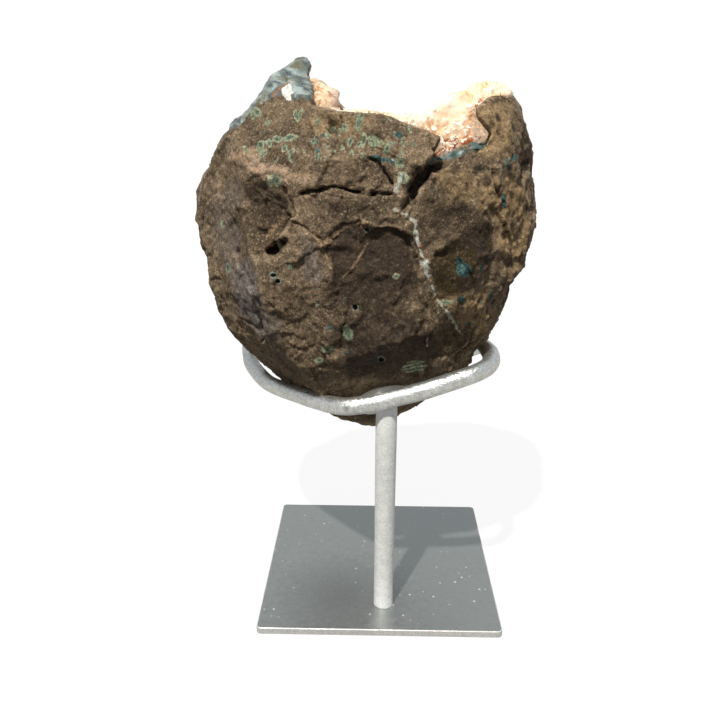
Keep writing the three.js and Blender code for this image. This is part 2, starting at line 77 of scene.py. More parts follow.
# The middle line of the ring's bar, and the weld beads on it: middle, half lengths, slope in degrees.
RING_PATH = [
    (-13.9, -35, 94.2), (-5.4, -36.3, 95.8), (3, -36.5, 98.1), (16, -38, 102.4), (27.1, -38, 106.4),
    (34.3, -36.5, 108.6), (39, -32, 109.2), (42.4, -24, 109.3), (44, -12, 108.2), (45.2, 5, 104.8),
    (46.8, 25, 99.6), (47.9, 42, 94.4), (47.3, 54, 89.6), (43.3, 61, 85.7), (34.6, 63.5, 84),
    (12.2, 64, 83.6), (-20, 64, 84), (-46, 62.5, 86.3), (-57.5, 58, 90.3), (-62.7, 50, 93.5),
    (-63.1, 42, 93.3), (-61.9, 35, 91.6), (-60, 28, 89.3), (-51, 10, 87.4), (-43, -1.5, 88.2),
    (-33.7, -13.5, 90), (-21.5, -28.6, 92.6),
]
WELDS = [
    ((0.2, -34.0, 97.9), (10.5, 4.2, 3.7), 15),
    ((7.2, -34.4, 100.9), (2.6, 2.0, 1.7), 10),
    ((-2.2, -34.6, 93.6), (6.4, 3.2, 2.0), 12),
]
RING_FACE_SIZE = 0.55
# The post's middle line, its foot on the plate, and its top inside the weld mound.
POST_X, POST_Y = 1.8, -32.7
POST_FOOT, POST_TOP = 3.0, 96.5

# Dull places on the paint: middle, reach, tone. The plate's one is a painted reflection of the dark
# stone above it; the ring's are scratches.
PLATE_DARK_REFLECTION = [((-16, -26, 3), 34, 0.72)]
RING_MARKS = [
    ((-13.4, -38.2, 95), 2.2, 0.35), ((33.5, -38.6, 110.4), 2.0, 0.4),
    ((-11, -38.4, 94.2), 1.6, 0.5),
]

# Cracks and broken edges on the near side: line, half width, depth.
CRACKS = [
    ([(-34.7, 168.7), (-30.6, 169.5), (-25.4, 170.3), (-21.2, 171.1), (-17.1, 170.8),
      (-12.9, 170.1), (-8.8, 169.2), (-4.6, 168.9), (-0.5, 169.0), (3.1, 168.7)], 0.5, 3.4),
    ([(19.4, 180.7), (17.9, 177.7), (15.4, 174.7), (13.4, 171.6), (11.8, 168.0)], 0.8, 1.2),
    ([(11.8, 168.0), (10.0, 165.5), (7.9, 163.2)], 0.6, 1.4),
    ([(-41.5, 170.2), (-39.0, 164.1), (-38.1, 159.9)], 0.7, 1.8),
    ([(-55.0, 117.4), (-52.9, 112.9), (-52.0, 108.3), (-51.6, 104.9)], 0.45, 2.2),
    ([(59.8, 182.1), (58.5, 178.1), (56.8, 173.3)], 1.2, 2.2),
    ([(-47.8, 144.6), (-45.2, 145.9), (-42.6, 147.8)], 1.7, 2.4),
    ([(-5.8, 183.5), (-2.7, 181.5), (0.4, 176.6), (3.6, 172.5)], 0.5, 1.4),
    ([(44.4, 178.9), (45.9, 170.8), (49.3, 165.8), (48.5, 162.7)], 0.5, 1.2),
    ([(-38.1, 156.8), (-32.9, 154.7), (-27.7, 150.6), (-24.5, 148.5)], 0.5, 0.9),
    ([(-25.0, 169.2), (-21.0, 167.6), (-16.0, 167.0)], 0.35, 0.7),
    ([(-23.0, 198.6), (-20.5, 196.2), (-21.5, 193.6)], 1.3, 1.6),
    ([(-17.5, 199.4), (-17.0, 195.5)], 0.6, 1.2),
]
# Steps where one flake has come off: line, height of the step; the lower side is on the left.
STEPS = [
    ([(-24.5, 148.5), (-21.3, 151.7), (-17.1, 154.9), (-11.9, 157.2), (-5.6, 157.6),
      (0.8, 154.5)], 1.3),
    ([(-21.0, 125.6), (-22.5, 132.3), (-23.0, 141.0), (-24.5, 148.5)], 0.9),
    ([(-48.1, 126.5), (-48.8, 136.4), (-51.2, 145.0), (-54.1, 153.5)], 0.7),
    ([(17.0, 139.7), (22.1, 144.6), (27.3, 148.9), (32.3, 154.2), (35.2, 158.4)], 0.35),
]
# Ridges between broken faces: line, height, half width.
RIDGES = [
    ([(-59.1, 182.2), (-58.3, 172.1), (-55.9, 161.9), (-57.0, 154.3), (-55.7, 145.0),
      (-52.1, 127.6), (-46.9, 111.8), (-39.7, 99.4)], 1.3, 7),
    ([(-35.0, 157.0), (-31.4, 147.3), (-28.1, 136.6), (-27.8, 123.3), (-24.5, 109.8),
      (-18.4, 93.5)], 1.1, 6),
    ([(-67.4, 142.7), (-59.6, 123.0), (-53.0, 102.5)], 0.9, 6),
    ([(44.1, 166.7), (40.9, 150.1), (37.6, 132.8), (34.8, 119.5)], 1.0, 6),
    ([(41.0, 198.4), (44.9, 186.8), (47.7, 174.9), (50.7, 160.6), (49.6, 145.9)], 1.1, 5),
    ([(-18.4, 93.5), (-0.6, 103.1), (21.2, 110.3), (31.6, 123.9)], 0.9, 7),
    ([(-50, 188), (-36, 184), (-20, 181.5), (-6, 184)], 0.7, 5),
    ([(-54.5, 173.5), (-47.3, 167.6), (-41.2, 160.4)], 2.4, 6),
]
# Faces painted darker than the rock round them, as painted shade on faces that lie in shade and as
# darker rock: outline, strength.
SHADED_AND_DARK_FACES = [
    ([(-25.1, 151.0), (-22.4, 154.5), (-17.7, 157.2), (-11.6, 155.4), (-3.4, 153.6), (4.8, 153.1),
      (10.1, 154.3), (11.2, 145.1), (14.7, 132.2), (7.8, 127.2), (-5.5, 125.6), (-21.5, 125.2),
      (-23.2, 136.6), (-24.3, 145.1)], 0.9),
    ([(-56.0, 172.0), (-51.0, 174.1), (-42.2, 169.0), (-38.9, 163.6), (-38.9, 159.5),
      (-41.4, 156.6), (-47.6, 149.1), (-50.9, 155.4), (-54.2, 163.7)], 0.45),
    ([(15.1, 159.7), (25.5, 163.8), (37.1, 164.5), (28.7, 156.7), (21.2, 149.3), (17.1, 145.1),
      (14.6, 151.4)], 0.55),
    ([(-16.1, 108.6), (7.0, 117.4), (21.3, 110.3), (27.8, 101.0), (21.4, 91.2), (-3.3, 90.1),
      (-14.9, 83.8)], 0.75),
    ([(7.0, 174.3), (11.2, 178.4), (17.4, 181.3), (27.8, 182.5), (21.4, 176.4), (14.0, 171.0),
      (9.8, 166.0)], 0.7),
]
OLIVE_FACES = [
    ([(20.0, 139.6), (23.2, 145.7), (30, 150), (36.5, 154.3), (45.5, 157.7), (46.2, 145.9),
      (39.3, 139.8), (34.0, 133.5), (29.2, 127.4), (23.9, 129.2)], 1.0),
    ([(-22.5, 199.4), (-19.0, 199.8), (-17.5, 196), (-18.5, 192.6), (-22.6, 193.2)], 0.6),
]
# Light edges, worn and with a painted highlight where they catch the light: line, half width.
WORN_AND_LIT_EDGES = [
    ([(-24.5, 148.5), (-21.3, 151.7), (-17.1, 154.9), (-11.9, 157.2), (-8.0, 157.6)], 0.6),
    ([(-30.8, 153.7), (-26.7, 148.4), (-23.5, 143.1), (-22.5, 137.7)], 0.6),
    ([(-17.2, 133.4), (-13.9, 136.7), (-10.7, 141.1), (-8.1, 145.4), (-6.5, 148.6)], 0.35),
    ([(-49.0, 151.0), (-45.0, 155.5), (-41.0, 158.0)], 0.8),
    ([(-60.0, 183.0), (-55.0, 184.6), (-48.0, 186.4)], 0.9),
    ([(-40.3, 175.6), (-34.6, 176.4), (-29.5, 175.6)], 0.8),
]
# The crystal vein: line, half width.
VEIN = [
    ([(5.3, 162.3), (10.1, 159.8), (13.3, 157.2)], 1.0),
    ([(13.3, 157.2), (14.0, 150.9), (15.8, 145.6), (18.0, 140.3), (19.3, 134.5)], 2.0),
    ([(19.3, 134.5), (21.0, 131.0), (22.8, 126.1)], 0.7),
    ([(24.0, 123.6), (26.3, 120.5), (30.9, 114.9), (35.0, 108.7)], 0.75),
    ([(20.2, 106.8), (20.7, 102.2)], 0.3),
    ([(7.4, 176.6), (6.0, 173.5), (5.4, 170.0)], 0.8),
    ([(2.4, 183.4), (4.6, 181.8)], 0.5),
]
# Coloured areas of the near side: middle, half lengths, turn in degrees, strength.
PINK_TAN = [
    ((-57.0, 182.6), (9, 4), 8, 0.9), ((-45.5, 177.6), (10, 3.4), -14, 0.85),
    ((-33, 174.6), (8, 2), 0, 0.7), ((-71, 170), (5, 6), 0, 0.45), ((6.2, 170.6), (2, 5), 10, 0.9),
    ((-36, 147), (4, 7), 30, 0.35), ((-62, 100), (10, 5), -40, 0.4), ((28, 158), (3, 2.2), 0, 0.6),
]
GOLDEN_TAN = [
    ((54, 158), (8, 26), 8, 0.95), ((43, 196), (11, 14), 0, 0.75), ((33, 172), (9, 9), -30, 0.55),
    ((28, 127), (8, 6), 0, 0.7), ((40, 118), (10, 12), 30, 0.6), ((-20, 196), (18, 5), 0, 0.45),
    ((24, 178), (4, 7), 0, 0.55), ((44, 168), (5, 10), 0, 0.6),
]
OLIVE = [
    ((30, 138), (10.5, 14), -24, 1.0), ((33, 104), (12, 9), 30, 0.6),
    ((22, 158), (7, 9), -20, 0.45),
]
LAVENDER = [
    ((-57.5, 126), (7, 19), 12, 0.8), ((-50, 113), (6, 9), 25, 0.55), ((-66, 150), (7, 20), 6, 0.4),
    ((-31, 139), (5, 12), 10, 0.5), ((-62, 168), (7, 9), 0, 0.35),
]
# Darker rock, and painted shade low on the stone and under the ledge.
DARK_ROCK_AND_SHADE = [
    ((-7, 145), (18, 11), 0, 0.95), ((-4, 128), (20, 12), 0, 0.7), ((0, 108), (24, 13), 0, 0.7),
    ((41.8, 142.6), (4.6, 5), 0, 0.75), ((12, 148), (8, 10), 0, 0.5), ((-14, 164), (20, 4), 0, 0.3),
    ((36, 158), (8, 7), 0, 0.45), ((5, 94), (28, 9), 0, 0.7), ((18, 96), (7, 4), 0, 0.35),
    ((24, 152), (6, 5), 40, 0.4),
]
# Those areas by the name that the material reads, and the faces that belong to them.
ZONES = {"pink_tan": PINK_TAN, "golden_tan": GOLDEN_TAN, "olive": OLIVE, "lavender": LAVENDER,
         "deep_brown": DARK_ROCK_AND_SHADE}
ZONE_FACES = {"deep_brown": SHADED_AND_DARK_FACES, "olive": OLIVE_FACES}
# Filled gas bubbles: middle, half lengths, turn in degrees.
GREEN_BUBBLES = [
    ((-8.4, 190.4), (1.2, 3.3), -6), ((-14.0, 189.3), (0.9, 2.2), -25),
    ((-4.3, 188.9), (1.0, 2.4), 8), ((1.3, 187.0), (1.4, 2.3), -28),
    ((-23.1, 187.3), (1.1, 1.0), 0), ((-17.0, 187.4), (0.9, 1.2), 0),
    ((-21.1, 185.9), (1.6, 0.8), 10), ((-38.4, 191.1), (3.4, 1.4), 14),
    ((-43.4, 190.6), (2.0, 1.6), 0), ((-48.7, 185.2), (1.3, 1.3), 0),
    ((-51.2, 200.7), (1.4, 2.6), 30), ((-34.1, 200.4), (0.7, 3.0), -20),
    ((-10.5, 197.1), (1.5, 4.2), -10), ((-45.5, 174.2), (3.2, 3.0), 0),
    ((7.6, 175.6), (2.8, 2.6), 30), ((-39.7, 137.6), (1.3, 1.0), 0),
    ((-28.1, 122.2), (0.9, 2.0), 0), ((-15.0, 108.2), (2.2, 4.0), 15),
    ((5.9, 134.2), (1.4, 1.4), 0), ((27.3, 123.3), (3.6, 1.1), 12), ((-67.2, 156.0), (1.0, 2.0), 0),
    ((-66.0, 137.3), (1.2, 2.4), 0), ((-24, 101), (2.8, 2.2), 0), ((-28, 95), (2.4, 1.6), 20),
    ((6.4, 181.6), (2.2, 2.4), 0),
]
TEAL_BUBBLES = [
    ((34.2, 137.2), (2.9, 3.0), 0), ((32.4, 140.6), (1.5, 2.2), 20), ((33.1, 125.1), (1.5, 1.2), 0),
    ((37.5, 113.9), (0.9, 1.1), 0), ((46.5, 126.3), (0.8, 2.2), 0), ((49.3, 166.8), (0.9, 3.2), 10),
    ((-2.0, 183.1), (3.8, 0.95), -12), ((2.6, 182.4), (1.8, 1.1), -20),
    ((5.7, 192.4), (1.5, 1.2), 0), ((53.4, 184), (0.8, 1.6), 0), ((-27, 185.8), (0.9, 1.0), 0),
]
# Bubbles with a raised rim: middles, and the radius of the rim.
RING_BUBBLES = [(-6.6, 154.4), (-11.5, 119.9), (0.1, 96.1), (-45.2, 131.5), (-46.8, 134.2)]
RING_BUBBLE_SIZE = 1.55
SMALL_BUBBLES = 38
# Spots of rust on the vein, and their reach.
RUST_DOTS = [(15.9, 147.6), (18.6, 142.2), (6.6, 161.6)]
RUST_DOT_REACH = 1.1
# A large bubble filled in layers.
LAYERED_BUBBLE = ((14.6, 92.9), (6.2, 2.7), 12)
# The blue-green skin: a line low in the rim's gap, and the foot of the left spire.
TEAL_LINE = [
    (18.6, 182.2), (21.6, 183.2), (25.2, 184.3), (29.0, 185.5), (33.0, 186.9), (37.0, 188.1),
    (40.6, 189.8),
]
SPIRE_FOOT = [
    (-62, 194.0), (-58.4, 197.0), (-54.2, 200.5), (-50.9, 203.2), (-46.0, 205.1), (-40.8, 206.7),
    (-37.2, 206.3), (-34.0, 206.0), (-28.8, 204.6), (-20, 203),
]
# Rust in the crystals that show through the rim's gap and beside the spire: line, half width, strength.
RUST_LINES = [
    ([(17.0, 181.4), (20.8, 184.8), (24.2, 187.0), (30.0, 188.7), (36.6, 189.6)], 2.3, 1.0),
    ([(24.0, 189.5), (29.0, 190.6), (34.0, 191.4), (38.0, 191.6)], 1.6, 0.75),
    ([(34.0, 200.7), (36.3, 203.8), (38.5, 206.4)], 1.1, 0.9),
    ([(21.9, 193.6), (26.5, 193.1)], 0.9, 0.8),
    ([(-31.2, 216.4), (-32.0, 214.6), (-30.2, 211.4), (-29.2, 208.4), (-30.0, 206.6),
      (-29.0, 203.6)], 0.8, 0.7),
    ([(-44.5, 206.6), (-42.9, 208.4), (-40.9, 210.0), (-37.9, 211.6)], 0.7, 0.85),
]
# The rock's edge in front of the hollow: crystals show above it.
RIM_LINE = [
    (-30, 204.4), (-28.8, 203.9), (-22.0, 202.0), (-16.0, 201.2), (-8.0, 200.7), (-2.0, 200.5),
    (2.9, 199.1), (6.1, 197.3), (12.2, 195.4), (18.3, 193.9), (22.4, 192.1),
]
# The stone's faces are laid on the CAD form up to this far from it, and made finer where the
# share of the near side is above this.
ON_FORM = 0.9
FINE_SHARE = 0.3
# Places on the near side that are worn soft: middle, radius, passes of smoothing.
SOFTENED = [((-13, 177), 7.5, 22), ((-46, 168), 12, 120), ((3, 178), 3.5, 8), ((14, 174), 6, 12),
            ((34, 149), 8, 60)]
# Broken edges of the crust, coated with small crystals: outline seen from EYE, the nearest and the
# farthest y where crystals lie on what is there, the y where they lie if nothing is, and how far
# beyond the hollow they may lie above COAT_TOP. Below it they may lie COAT_REACH beyond it.
GAP_COAT = ([
    (3.6, 200.2), (6.1, 198.2), (12.2, 196.2), (18.3, 194.0), (23.2, 191.4), (22.6, 188.2),
    (20.3, 184.8), (17.6, 182.2), (21.2, 183.1), (25.1, 185.1), (29.9, 186.9), (34.7, 188.5),
    (38.7, 189.7), (43.4, 191.2), (43.8, 195.8), (40.2, 199.6), (37.0, 202.2), (37.8, 205.6),
    (40.9, 207.7), (44.4, 208.4), (49.0, 208.6), (50.4, 210.5), (46.1, 213), (37.4, 213),
    (30.5, 209.5), (25.0, 207.5), (20.4, 204.6), (16.1, 202.5), (6.0, 203.5)], -27, 24, 8, 4)
SPIRE_COAT = ([
    (-29.6, 217.8), (-31.0, 215.0), (-28.8, 211.6), (-27.6, 208.6), (-28.8, 206.7), (-27.0, 203.6),
    (-18.6, 203.0), (-18.6, 207.0), (-19.6, 209.2), (-22.7, 211.0), (-26.7, 213.6),
    (-28.0, 216.0)], -12, 16, 2, 4)
COAT_TOP, COAT_REACH = 204, 10
# The cap on the right horn: outline seen from EYE, the nearest and the farthest y.
HORN_COAT = ([
    (34.0, 213.4), (44.0, 213.2), (51.5, 210.0), (48.7, 208.6), (44.8, 207.9), (40.8, 207.5),
    (38.5, 206.3), (36.7, 204.4), (35.0, 205.9)], -24, 37)
# The cap grows on rock whose normal rises at least this much. It thins out from one y to another,
# and where EYE can't see the rock it reaches this far beyond the hollow.
CAP_RISE = 0.55
CAP_THINS = (24, 37)
CAP_REACH = 11
# A lump of rock that closes the right half of the hole in the spire: middle, half lengths.
PLUG = ((-34.6, -3, 209.2), (3.4, 6, 4.2))
# The window of clear crystal beside the left spire, seen from EYE.
WINDOW = [
    (-40.9, 209.5), (-39.5, 210.6), (-37.7, 211.3), (-37.3, 208.6), (-37.4, 205.4), (-39.2, 205.7),
    (-40.6, 207.4),
]
# The most that crystals may rise, seen from EYE: x against z, and in height.
CRYSTAL_SKYLINE = [
    (-40, 206), (-34.5, 220.5), (-32, 220.5), (-30.2, 217.6), (-28.4, 215.2), (-26.6, 212.8),
    (-21.4, 209.3), (-18.4, 207.2), (-18.2, 202.8), (-10, 202.2), (0, 202.0), (6, 201.9),
    (12, 200.9), (18.1, 201.7), (23.5, 205.2), (26.5, 208.4), (31.5, 209.4), (35.5, 212.5),
    (39, 213.6), (44, 213.2), (48.5, 210.8), (55, 203),
]
CRYSTAL_TOP = 221.5


# ---- small helpers ---------------------------------------------------------------
def linear(code):
    """The linear colour of an sRGB hex code."""
    parts = [int(code[i:i + 2], 16) / 255 for i in (1, 3, 5)]
    return [c / 12.92 if c <= 0.04045 else ((c + 0.055) / 1.055) ** 2.4 for c in parts]


def paint(code):
    """The linear colour of an sRGB hex code, with its alpha, as a socket takes it."""
    return (*linear(code), 1.0)


def add(tree, kind, inputs=None, out=0, **settings):
    """Adds a node with its settings, sets or links its inputs and gives one of its outputs."""
    made = tree.nodes.new(kind)
    for name, value in settings.items():
        setattr(made, name, value)
    for key, value in (inputs or {}).items():
        if isinstance(value, bpy.types.NodeSocket):
            tree.links.new(value, made.inputs[key])
        else:
            made.inputs[key].default_value = value
    return made.outputs[out] if len(made.outputs) else made


# What a node needs that mixes two colours, its inputs 6 and 7, by the share in its input 0.
MIX_COLOURS = {"out": 2, "data_type": "RGBA"}


def fresh_material(name):
    """A new material with an empty node tree."""
    material = bpy.data.materials.new(name)
    material.use_nodes = True
    material.node_tree.nodes.clear()
    return material, material.node_tree


def scatter(cells, seed):
    """A random number from -1 to 1 for each row of whole numbers."""
    mixed = cells[:, 0] * 73856093 ^ cells[:, 1] * 19349663 ^ cells[:, 2] * 83492791 ^ (seed * 26544357)
    mixed = ((mixed ^ (mixed >> 13)) * 1274126177) & 0x7FFFFFFF
    mixed = (mixed ^ (mixed >> 15)) & 0xFFFF
    return mixed / 32767.5 - 1


def lumps(points, size, seed=0):
    """Smooth noise from -1 to 1 at each point; size is the spacing of its lumps in mm."""
    place = points / size
    cell = np.floor(place).astype(np.int64)
    part = place - cell
    ease = part * part * (3 - 2 * part)
    total = np.zeros(len(points))
    for corner in range(8):
        step = np.array([corner & 1, (corner >> 1) & 1, (corner >> 2) & 1])
        weight = np.prod(np.where(step, ease, 1 - ease), axis=1)
        total += weight * scatter(cell + step, seed)
    return total


def facets(points, size, seed=0):
    """Heights of flat facets that each tilt their own way; size is their spacing in mm."""
    cell = np.floor(points / size).astype(np.int64)
    nearest = np.full(len(points), 1e9)
    height = np.zeros(len(points))
    for step in np.ndindex(3, 3, 3):
        near = cell + np.array(step) - 1
        centre = near + 0.5 + 0.5 * np.stack([scatter(near, seed + k) for k in range(3)], axis=1)
        tilt = np.stack([scatter(near, seed + k) for k in range(3, 6)], axis=1)
        away = points / size - centre
        square = np.einsum("ij,ij->i", away, away)
        closer = square < nearest
        nearest = np.where(closer, square, nearest)
        height = np.where(closer, np.einsum("ij,ij->i", away, tilt) + 0.3 * tilt[:, 0], height)
    return height


def ramp(values, low, high):
    """0 at low and 1 at high, eased between them."""
    share = np.clip((values - low) / (high - low), 0, 1)
    return share * share * (3 - 2 * share)


def on_front_plane(points):
    """Where the line of sight through each point crosses the upright plane, as x and z."""
    grow = (PLANE_Y - EYE[1]) / (points[:, 1] - EYE[1])
    return EYE[0] + (points[:, 0] - EYE[0]) * grow, EYE[2] + (points[:, 2] - EYE[2]) * grow


def off_line(x, z, line):
    """The distance from each place to a line of points."""
    nearest = np.full(len(x), 1e9)
    for (ax, az), (bx, bz) in zip(line, line[1:]):
        square = (bx - ax) ** 2 + (bz - az) ** 2
        share = np.clip(((x - ax) * (bx - ax) + (z - az) * (bz - az)) / square, 0, 1)
        nearest = np.minimum(nearest, np.hypot(x - ax - share * (bx - ax), z - az - share * (bz - az)))
    return nearest


def inside(x, z, outline):
    """Whether each place lies inside a closed outline."""
    odd = np.zeros(np.shape(x), bool)
    for (ax, az), (bx, bz) in zip(outline, outline[1:] + outline[:1]):
        crosses = (az > z) != (bz > z)
        odd ^= crosses & (x < ax + (z - az) * (bx - ax) / ((bz - az) or 1e-9))
    return odd


def into(x, z, outline):
    """How far each place lies inside a closed outline; below zero outside it."""
    return off_line(x, z, outline + outline[:1]) * np.where(inside(x, z, outline), 1, -1)


def near_line(x, z, line, half):
    """1 on a line, fading beside it; half is where about a third is left."""
    return np.exp(-(off_line(x, z, line) / half) ** 2)


def height_of(line, x):
    """The height of a line of points at each x."""
    return np.interp(x, [p[0] for p in line], [p[1] for p in line])


def most(layers):
    """The highest of several layers of values at each place."""
    return np.maximum.reduce(list(layers))


def side_of_line(x, z, line):
    """The signed distance to a line: above zero on its right, only beside the line itself."""
    best = np.full(len(x), 1e9)
    signed = np.zeros(len(x))
    for (ax, az), (bx, bz) in zip(line, line[1:]):
        length = math.hypot(bx - ax, bz - az)
        share = np.clip(((x - ax) * (bx - ax) + (z - az) * (bz - az)) / length ** 2, 0, 1)
        away = np.hypot(x - ax - share * (bx - ax), z - az - share * (bz - az))
        across = ((x - ax) * (bz - az) - (z - az) * (bx - ax)) / length
        closer = away < best
        best = np.where(closer, away, best)
        signed = np.where(closer, np.where(across >= 0, away, -away), signed)
    return signed


def in_oval(x, z, middle, half, turn):
    """How far out each place lies in an oval: 0 at its middle and 1 at its edge."""
    angle = math.radians(turn)
    dx, dz = x - middle[0], z - middle[1]
    along = (dx * math.cos(angle) + dz * math.sin(angle)) / half[0]
    across = (dz * math.cos(angle) - dx * math.sin(angle)) / half[1]
    return np.hypot(along, across)


def over(places, outline, soft):
    """How much each place lies over an outline seen from EYE; soft is the width of its edge in mm."""
    return ramp(into(*on_front_plane(places), outline), -soft, 0.3 * soft)


def facing_eye(places, normals):
    """How much each place faces EYE: 1 straight at it and -1 straight away from it."""
    sight = np.array(EYE) - places
    sight /= np.linalg.norm(sight, axis=1)[:, None]
    return np.einsum("ij,ij->i", sight, normals)


def beyond_hollow(points):
    """About how far each point lies outside the hollow's egg, in mm."""
    z = points[:, 2] - HOLLOW_MIDDLE[2]
    x = (points[:, 0] - HOLLOW_MIDDLE[0] - HOLLOW_LEAN * z) / HOLLOW_HALF[0]
    y = (points[:, 1] - HOLLOW_MIDDLE[1]) / HOLLOW_HALF[1]
    return (np.sqrt(x * x + y * y + (z / HOLLOW_HALF[2]) ** 2) - 1) * HOLLOW_HALF[0]


def merged_copy(node):
    """A bmesh of a CAD node, its loose triangles joined."""
    shape = bmesh.new()
    shape.from_mesh(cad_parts[node].data)
    bmesh.ops.remove_doubles(shape, verts=shape.verts, dist=1e-6)
    return shape


def even_faces(shape, size):
    """The same form remeshed in even faces of one size in mm."""
    mesh = bpy.data.meshes.new("even_faces")
    shape.to_mesh(mesh)
    shape.free()
    block = bpy.data.objects.new("even_faces", mesh)
    bpy.context.scene.collection.objects.link(block)
    remesh = block.modifiers.new("even faces", "REMESH")
    remesh.mode = "VOXEL"
    remesh.voxel_size = size * MM
    even = bmesh.new()
    even.from_object(block, bpy.context.evaluated_depsgraph_get())
    bpy.data.objects.remove(block)
    return even


def oval_at(middle, half, slope=0):
    """The matrix that makes a ball of radius 1 an oval; slope is in degrees, up to the right."""
    turn = Matrix.Rotation(math.radians(-slope), 4, "Y")
    size = Matrix.Diagonal((*[length * MM for length in half], 1))
    return Matrix.Translation(Vector(middle) * MM) @ turn @ size


def places_of(shape):
    """The vertices and their normals, the places in mm."""
    shape.normal_update()
    places = np.array([v.co[:] for v in shape.verts]) / MM
    normals = np.array([v.normal[:] for v in shape.verts])
    return places, normals


def put_places(shape, places):
    """Moves the vertices to places given in mm."""
    for vert, place in zip(shape.verts, places * MM):
        vert.co = place


def finished(name, shape, material, node, smooth=True):
    """Makes the object of a bmesh, rides it on the frame and hides the CAD node it stands for."""
    mesh = bpy.data.meshes.new(name)
    shape.to_mesh(mesh)
    shape.free()
    mesh.materials.append(material)
    mesh.polygons.foreach_set("use_smooth", [smooth] * len(mesh.polygons))
    piece = bpy.data.objects.new(name, mesh)
    bpy.context.scene.collection.objects.link(piece)
    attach(piece, "root")
    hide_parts(node)
    return piece


def stand_out(mesh, passes):
    """How far each vertex stands out from those round it: about 1 on a ridge and -1 in a hollow."""
    count = len(mesh.vertices)
    places = np.empty(count * 3)
    mesh.vertices.foreach_get("co", places)
    places = places.reshape(-1, 3)
    normals = np.empty(count * 3)
    mesh.vertices.foreach_get("normal", normals)
    ends = np.empty(len(mesh.edges) * 2, int)
    mesh.edges.foreach_get("vertices", ends)
    here = np.concatenate([ends[0::2], ends[1::2]])
    there = np.concatenate([ends[1::2], ends[0::2]])
    neighbours = np.maximum(np.bincount(here, minlength=count), 1)
    even = places
    for _ in range(passes):
        sums = [np.bincount(here, even[there, axis], count) for axis in range(3)]
        even = np.stack(sums, axis=1) / neighbours[:, None]
    height = np.einsum("ij,ij->i", places - even, normals.reshape(-1, 3))
    return np.clip(height / (2 * height.std()), -1, 1)


def write_values(piece, name, values):
    """Keeps one number per vertex on the piece, for its material to read."""
    layer = piece.data.attributes.new(name, "FLOAT", "POINT")
    layer.data.foreach_set("value", np.clip(values, 0, 1).astype(np.float32))


# ---- settings --------------------------------------------------------------------
class StoneSettings(bpy.types.PropertyGroup):
    """Sizes and colours of the basalt"""

    face_size: FloatProperty(
        name="Face size", description="Size of the stone's mesh faces in mm", default=1.52)
    relief: FloatProperty(
        name="Relief", description="Strength of the broken surface's relief", default=1.0)
    brown: FloatVectorProperty(
        name="Brown", description="The fresh rock", subtype="COLOR", default=linear("#857259"))
    dark: FloatVectorProperty(
        name="Dark brown", description="The darker rock", subtype="COLOR", default=linear("#4D402F"))
    fleck: FloatVectorProperty(
        name="Flecks", description="The light grains in the rock", subtype="COLOR",
        default=linear("#B5A289"))


class CrustSettings(bpy.types.PropertyGroup):
    """Sizes and colours of the crystal crust"""

    face_size: FloatProperty(
        name="Face size", description="Size of the crust's mesh faces in mm", default=1.15)
    blades: IntProperty(name="Sheaves", description="Number of crystal sheaves tried", default=540)
    chips: IntProperty(
        name="Chips", description="Number of small crystals tried on the broken edges", default=1160)
    seed: IntProperty(name="Seed", description="Start of the blades' random places", default=7)
    cream: FloatVectorProperty(
        name="Cream", description="The crystals", subtype="COLOR", default=linear("#FFF1DC"))
    peach: FloatVectorProperty(
        name="Peach", description="The pinker crystals", subtype="COLOR", default=linear("#F8D4AB"))
    rust: FloatVectorProperty(
        name="Rust", description="Iron stain on the crystals", subtype="COLOR",
        default=linear("#94401B"))
    # Strength of the painted glow, emission that makes the crystals shine though they are no lamp.
    glow: FloatProperty(
        name="Inner glow", description="Light that scatters inside the clear crystals", default=0.28)


class StandSettings(bpy.types.PropertyGroup):
    """Sizes and colours of the stand"""

    bar: FloatProperty(name="Ring bar", description="Diameter of the ring's bar in mm", default=6.9)
    post: FloatProperty(name="Post", description="Diameter of the post in mm", default=8.4)
    silver: FloatVectorProperty(
        name="Bar paint", description="Silver paint on the bars", subtype="COLOR",
        default=linear("#E8E9E5"))
    # The plate's silver is a darker copy of the bars' paint: painted shade for the dark surroundings
    # that the plate mirrors.
    plate: FloatVectorProperty(
        name="Plate paint", description="Silver paint on the plate", subtype="COLOR",
        default=linear("#B2B5B3"))


class StageSettings(bpy.types.PropertyGroup):
    """Light and floor"""

    sun: FloatProperty(name="Key light", description="Strength of the key light", default=3.3)
    softness: FloatProperty(
        name="Softness", description="Width of the key light", subtype="ANGLE",
        default=math.radians(1.6))
    fill: FloatProperty(
        name="Fill light", description="Strength of the light from all round", default=0.42)


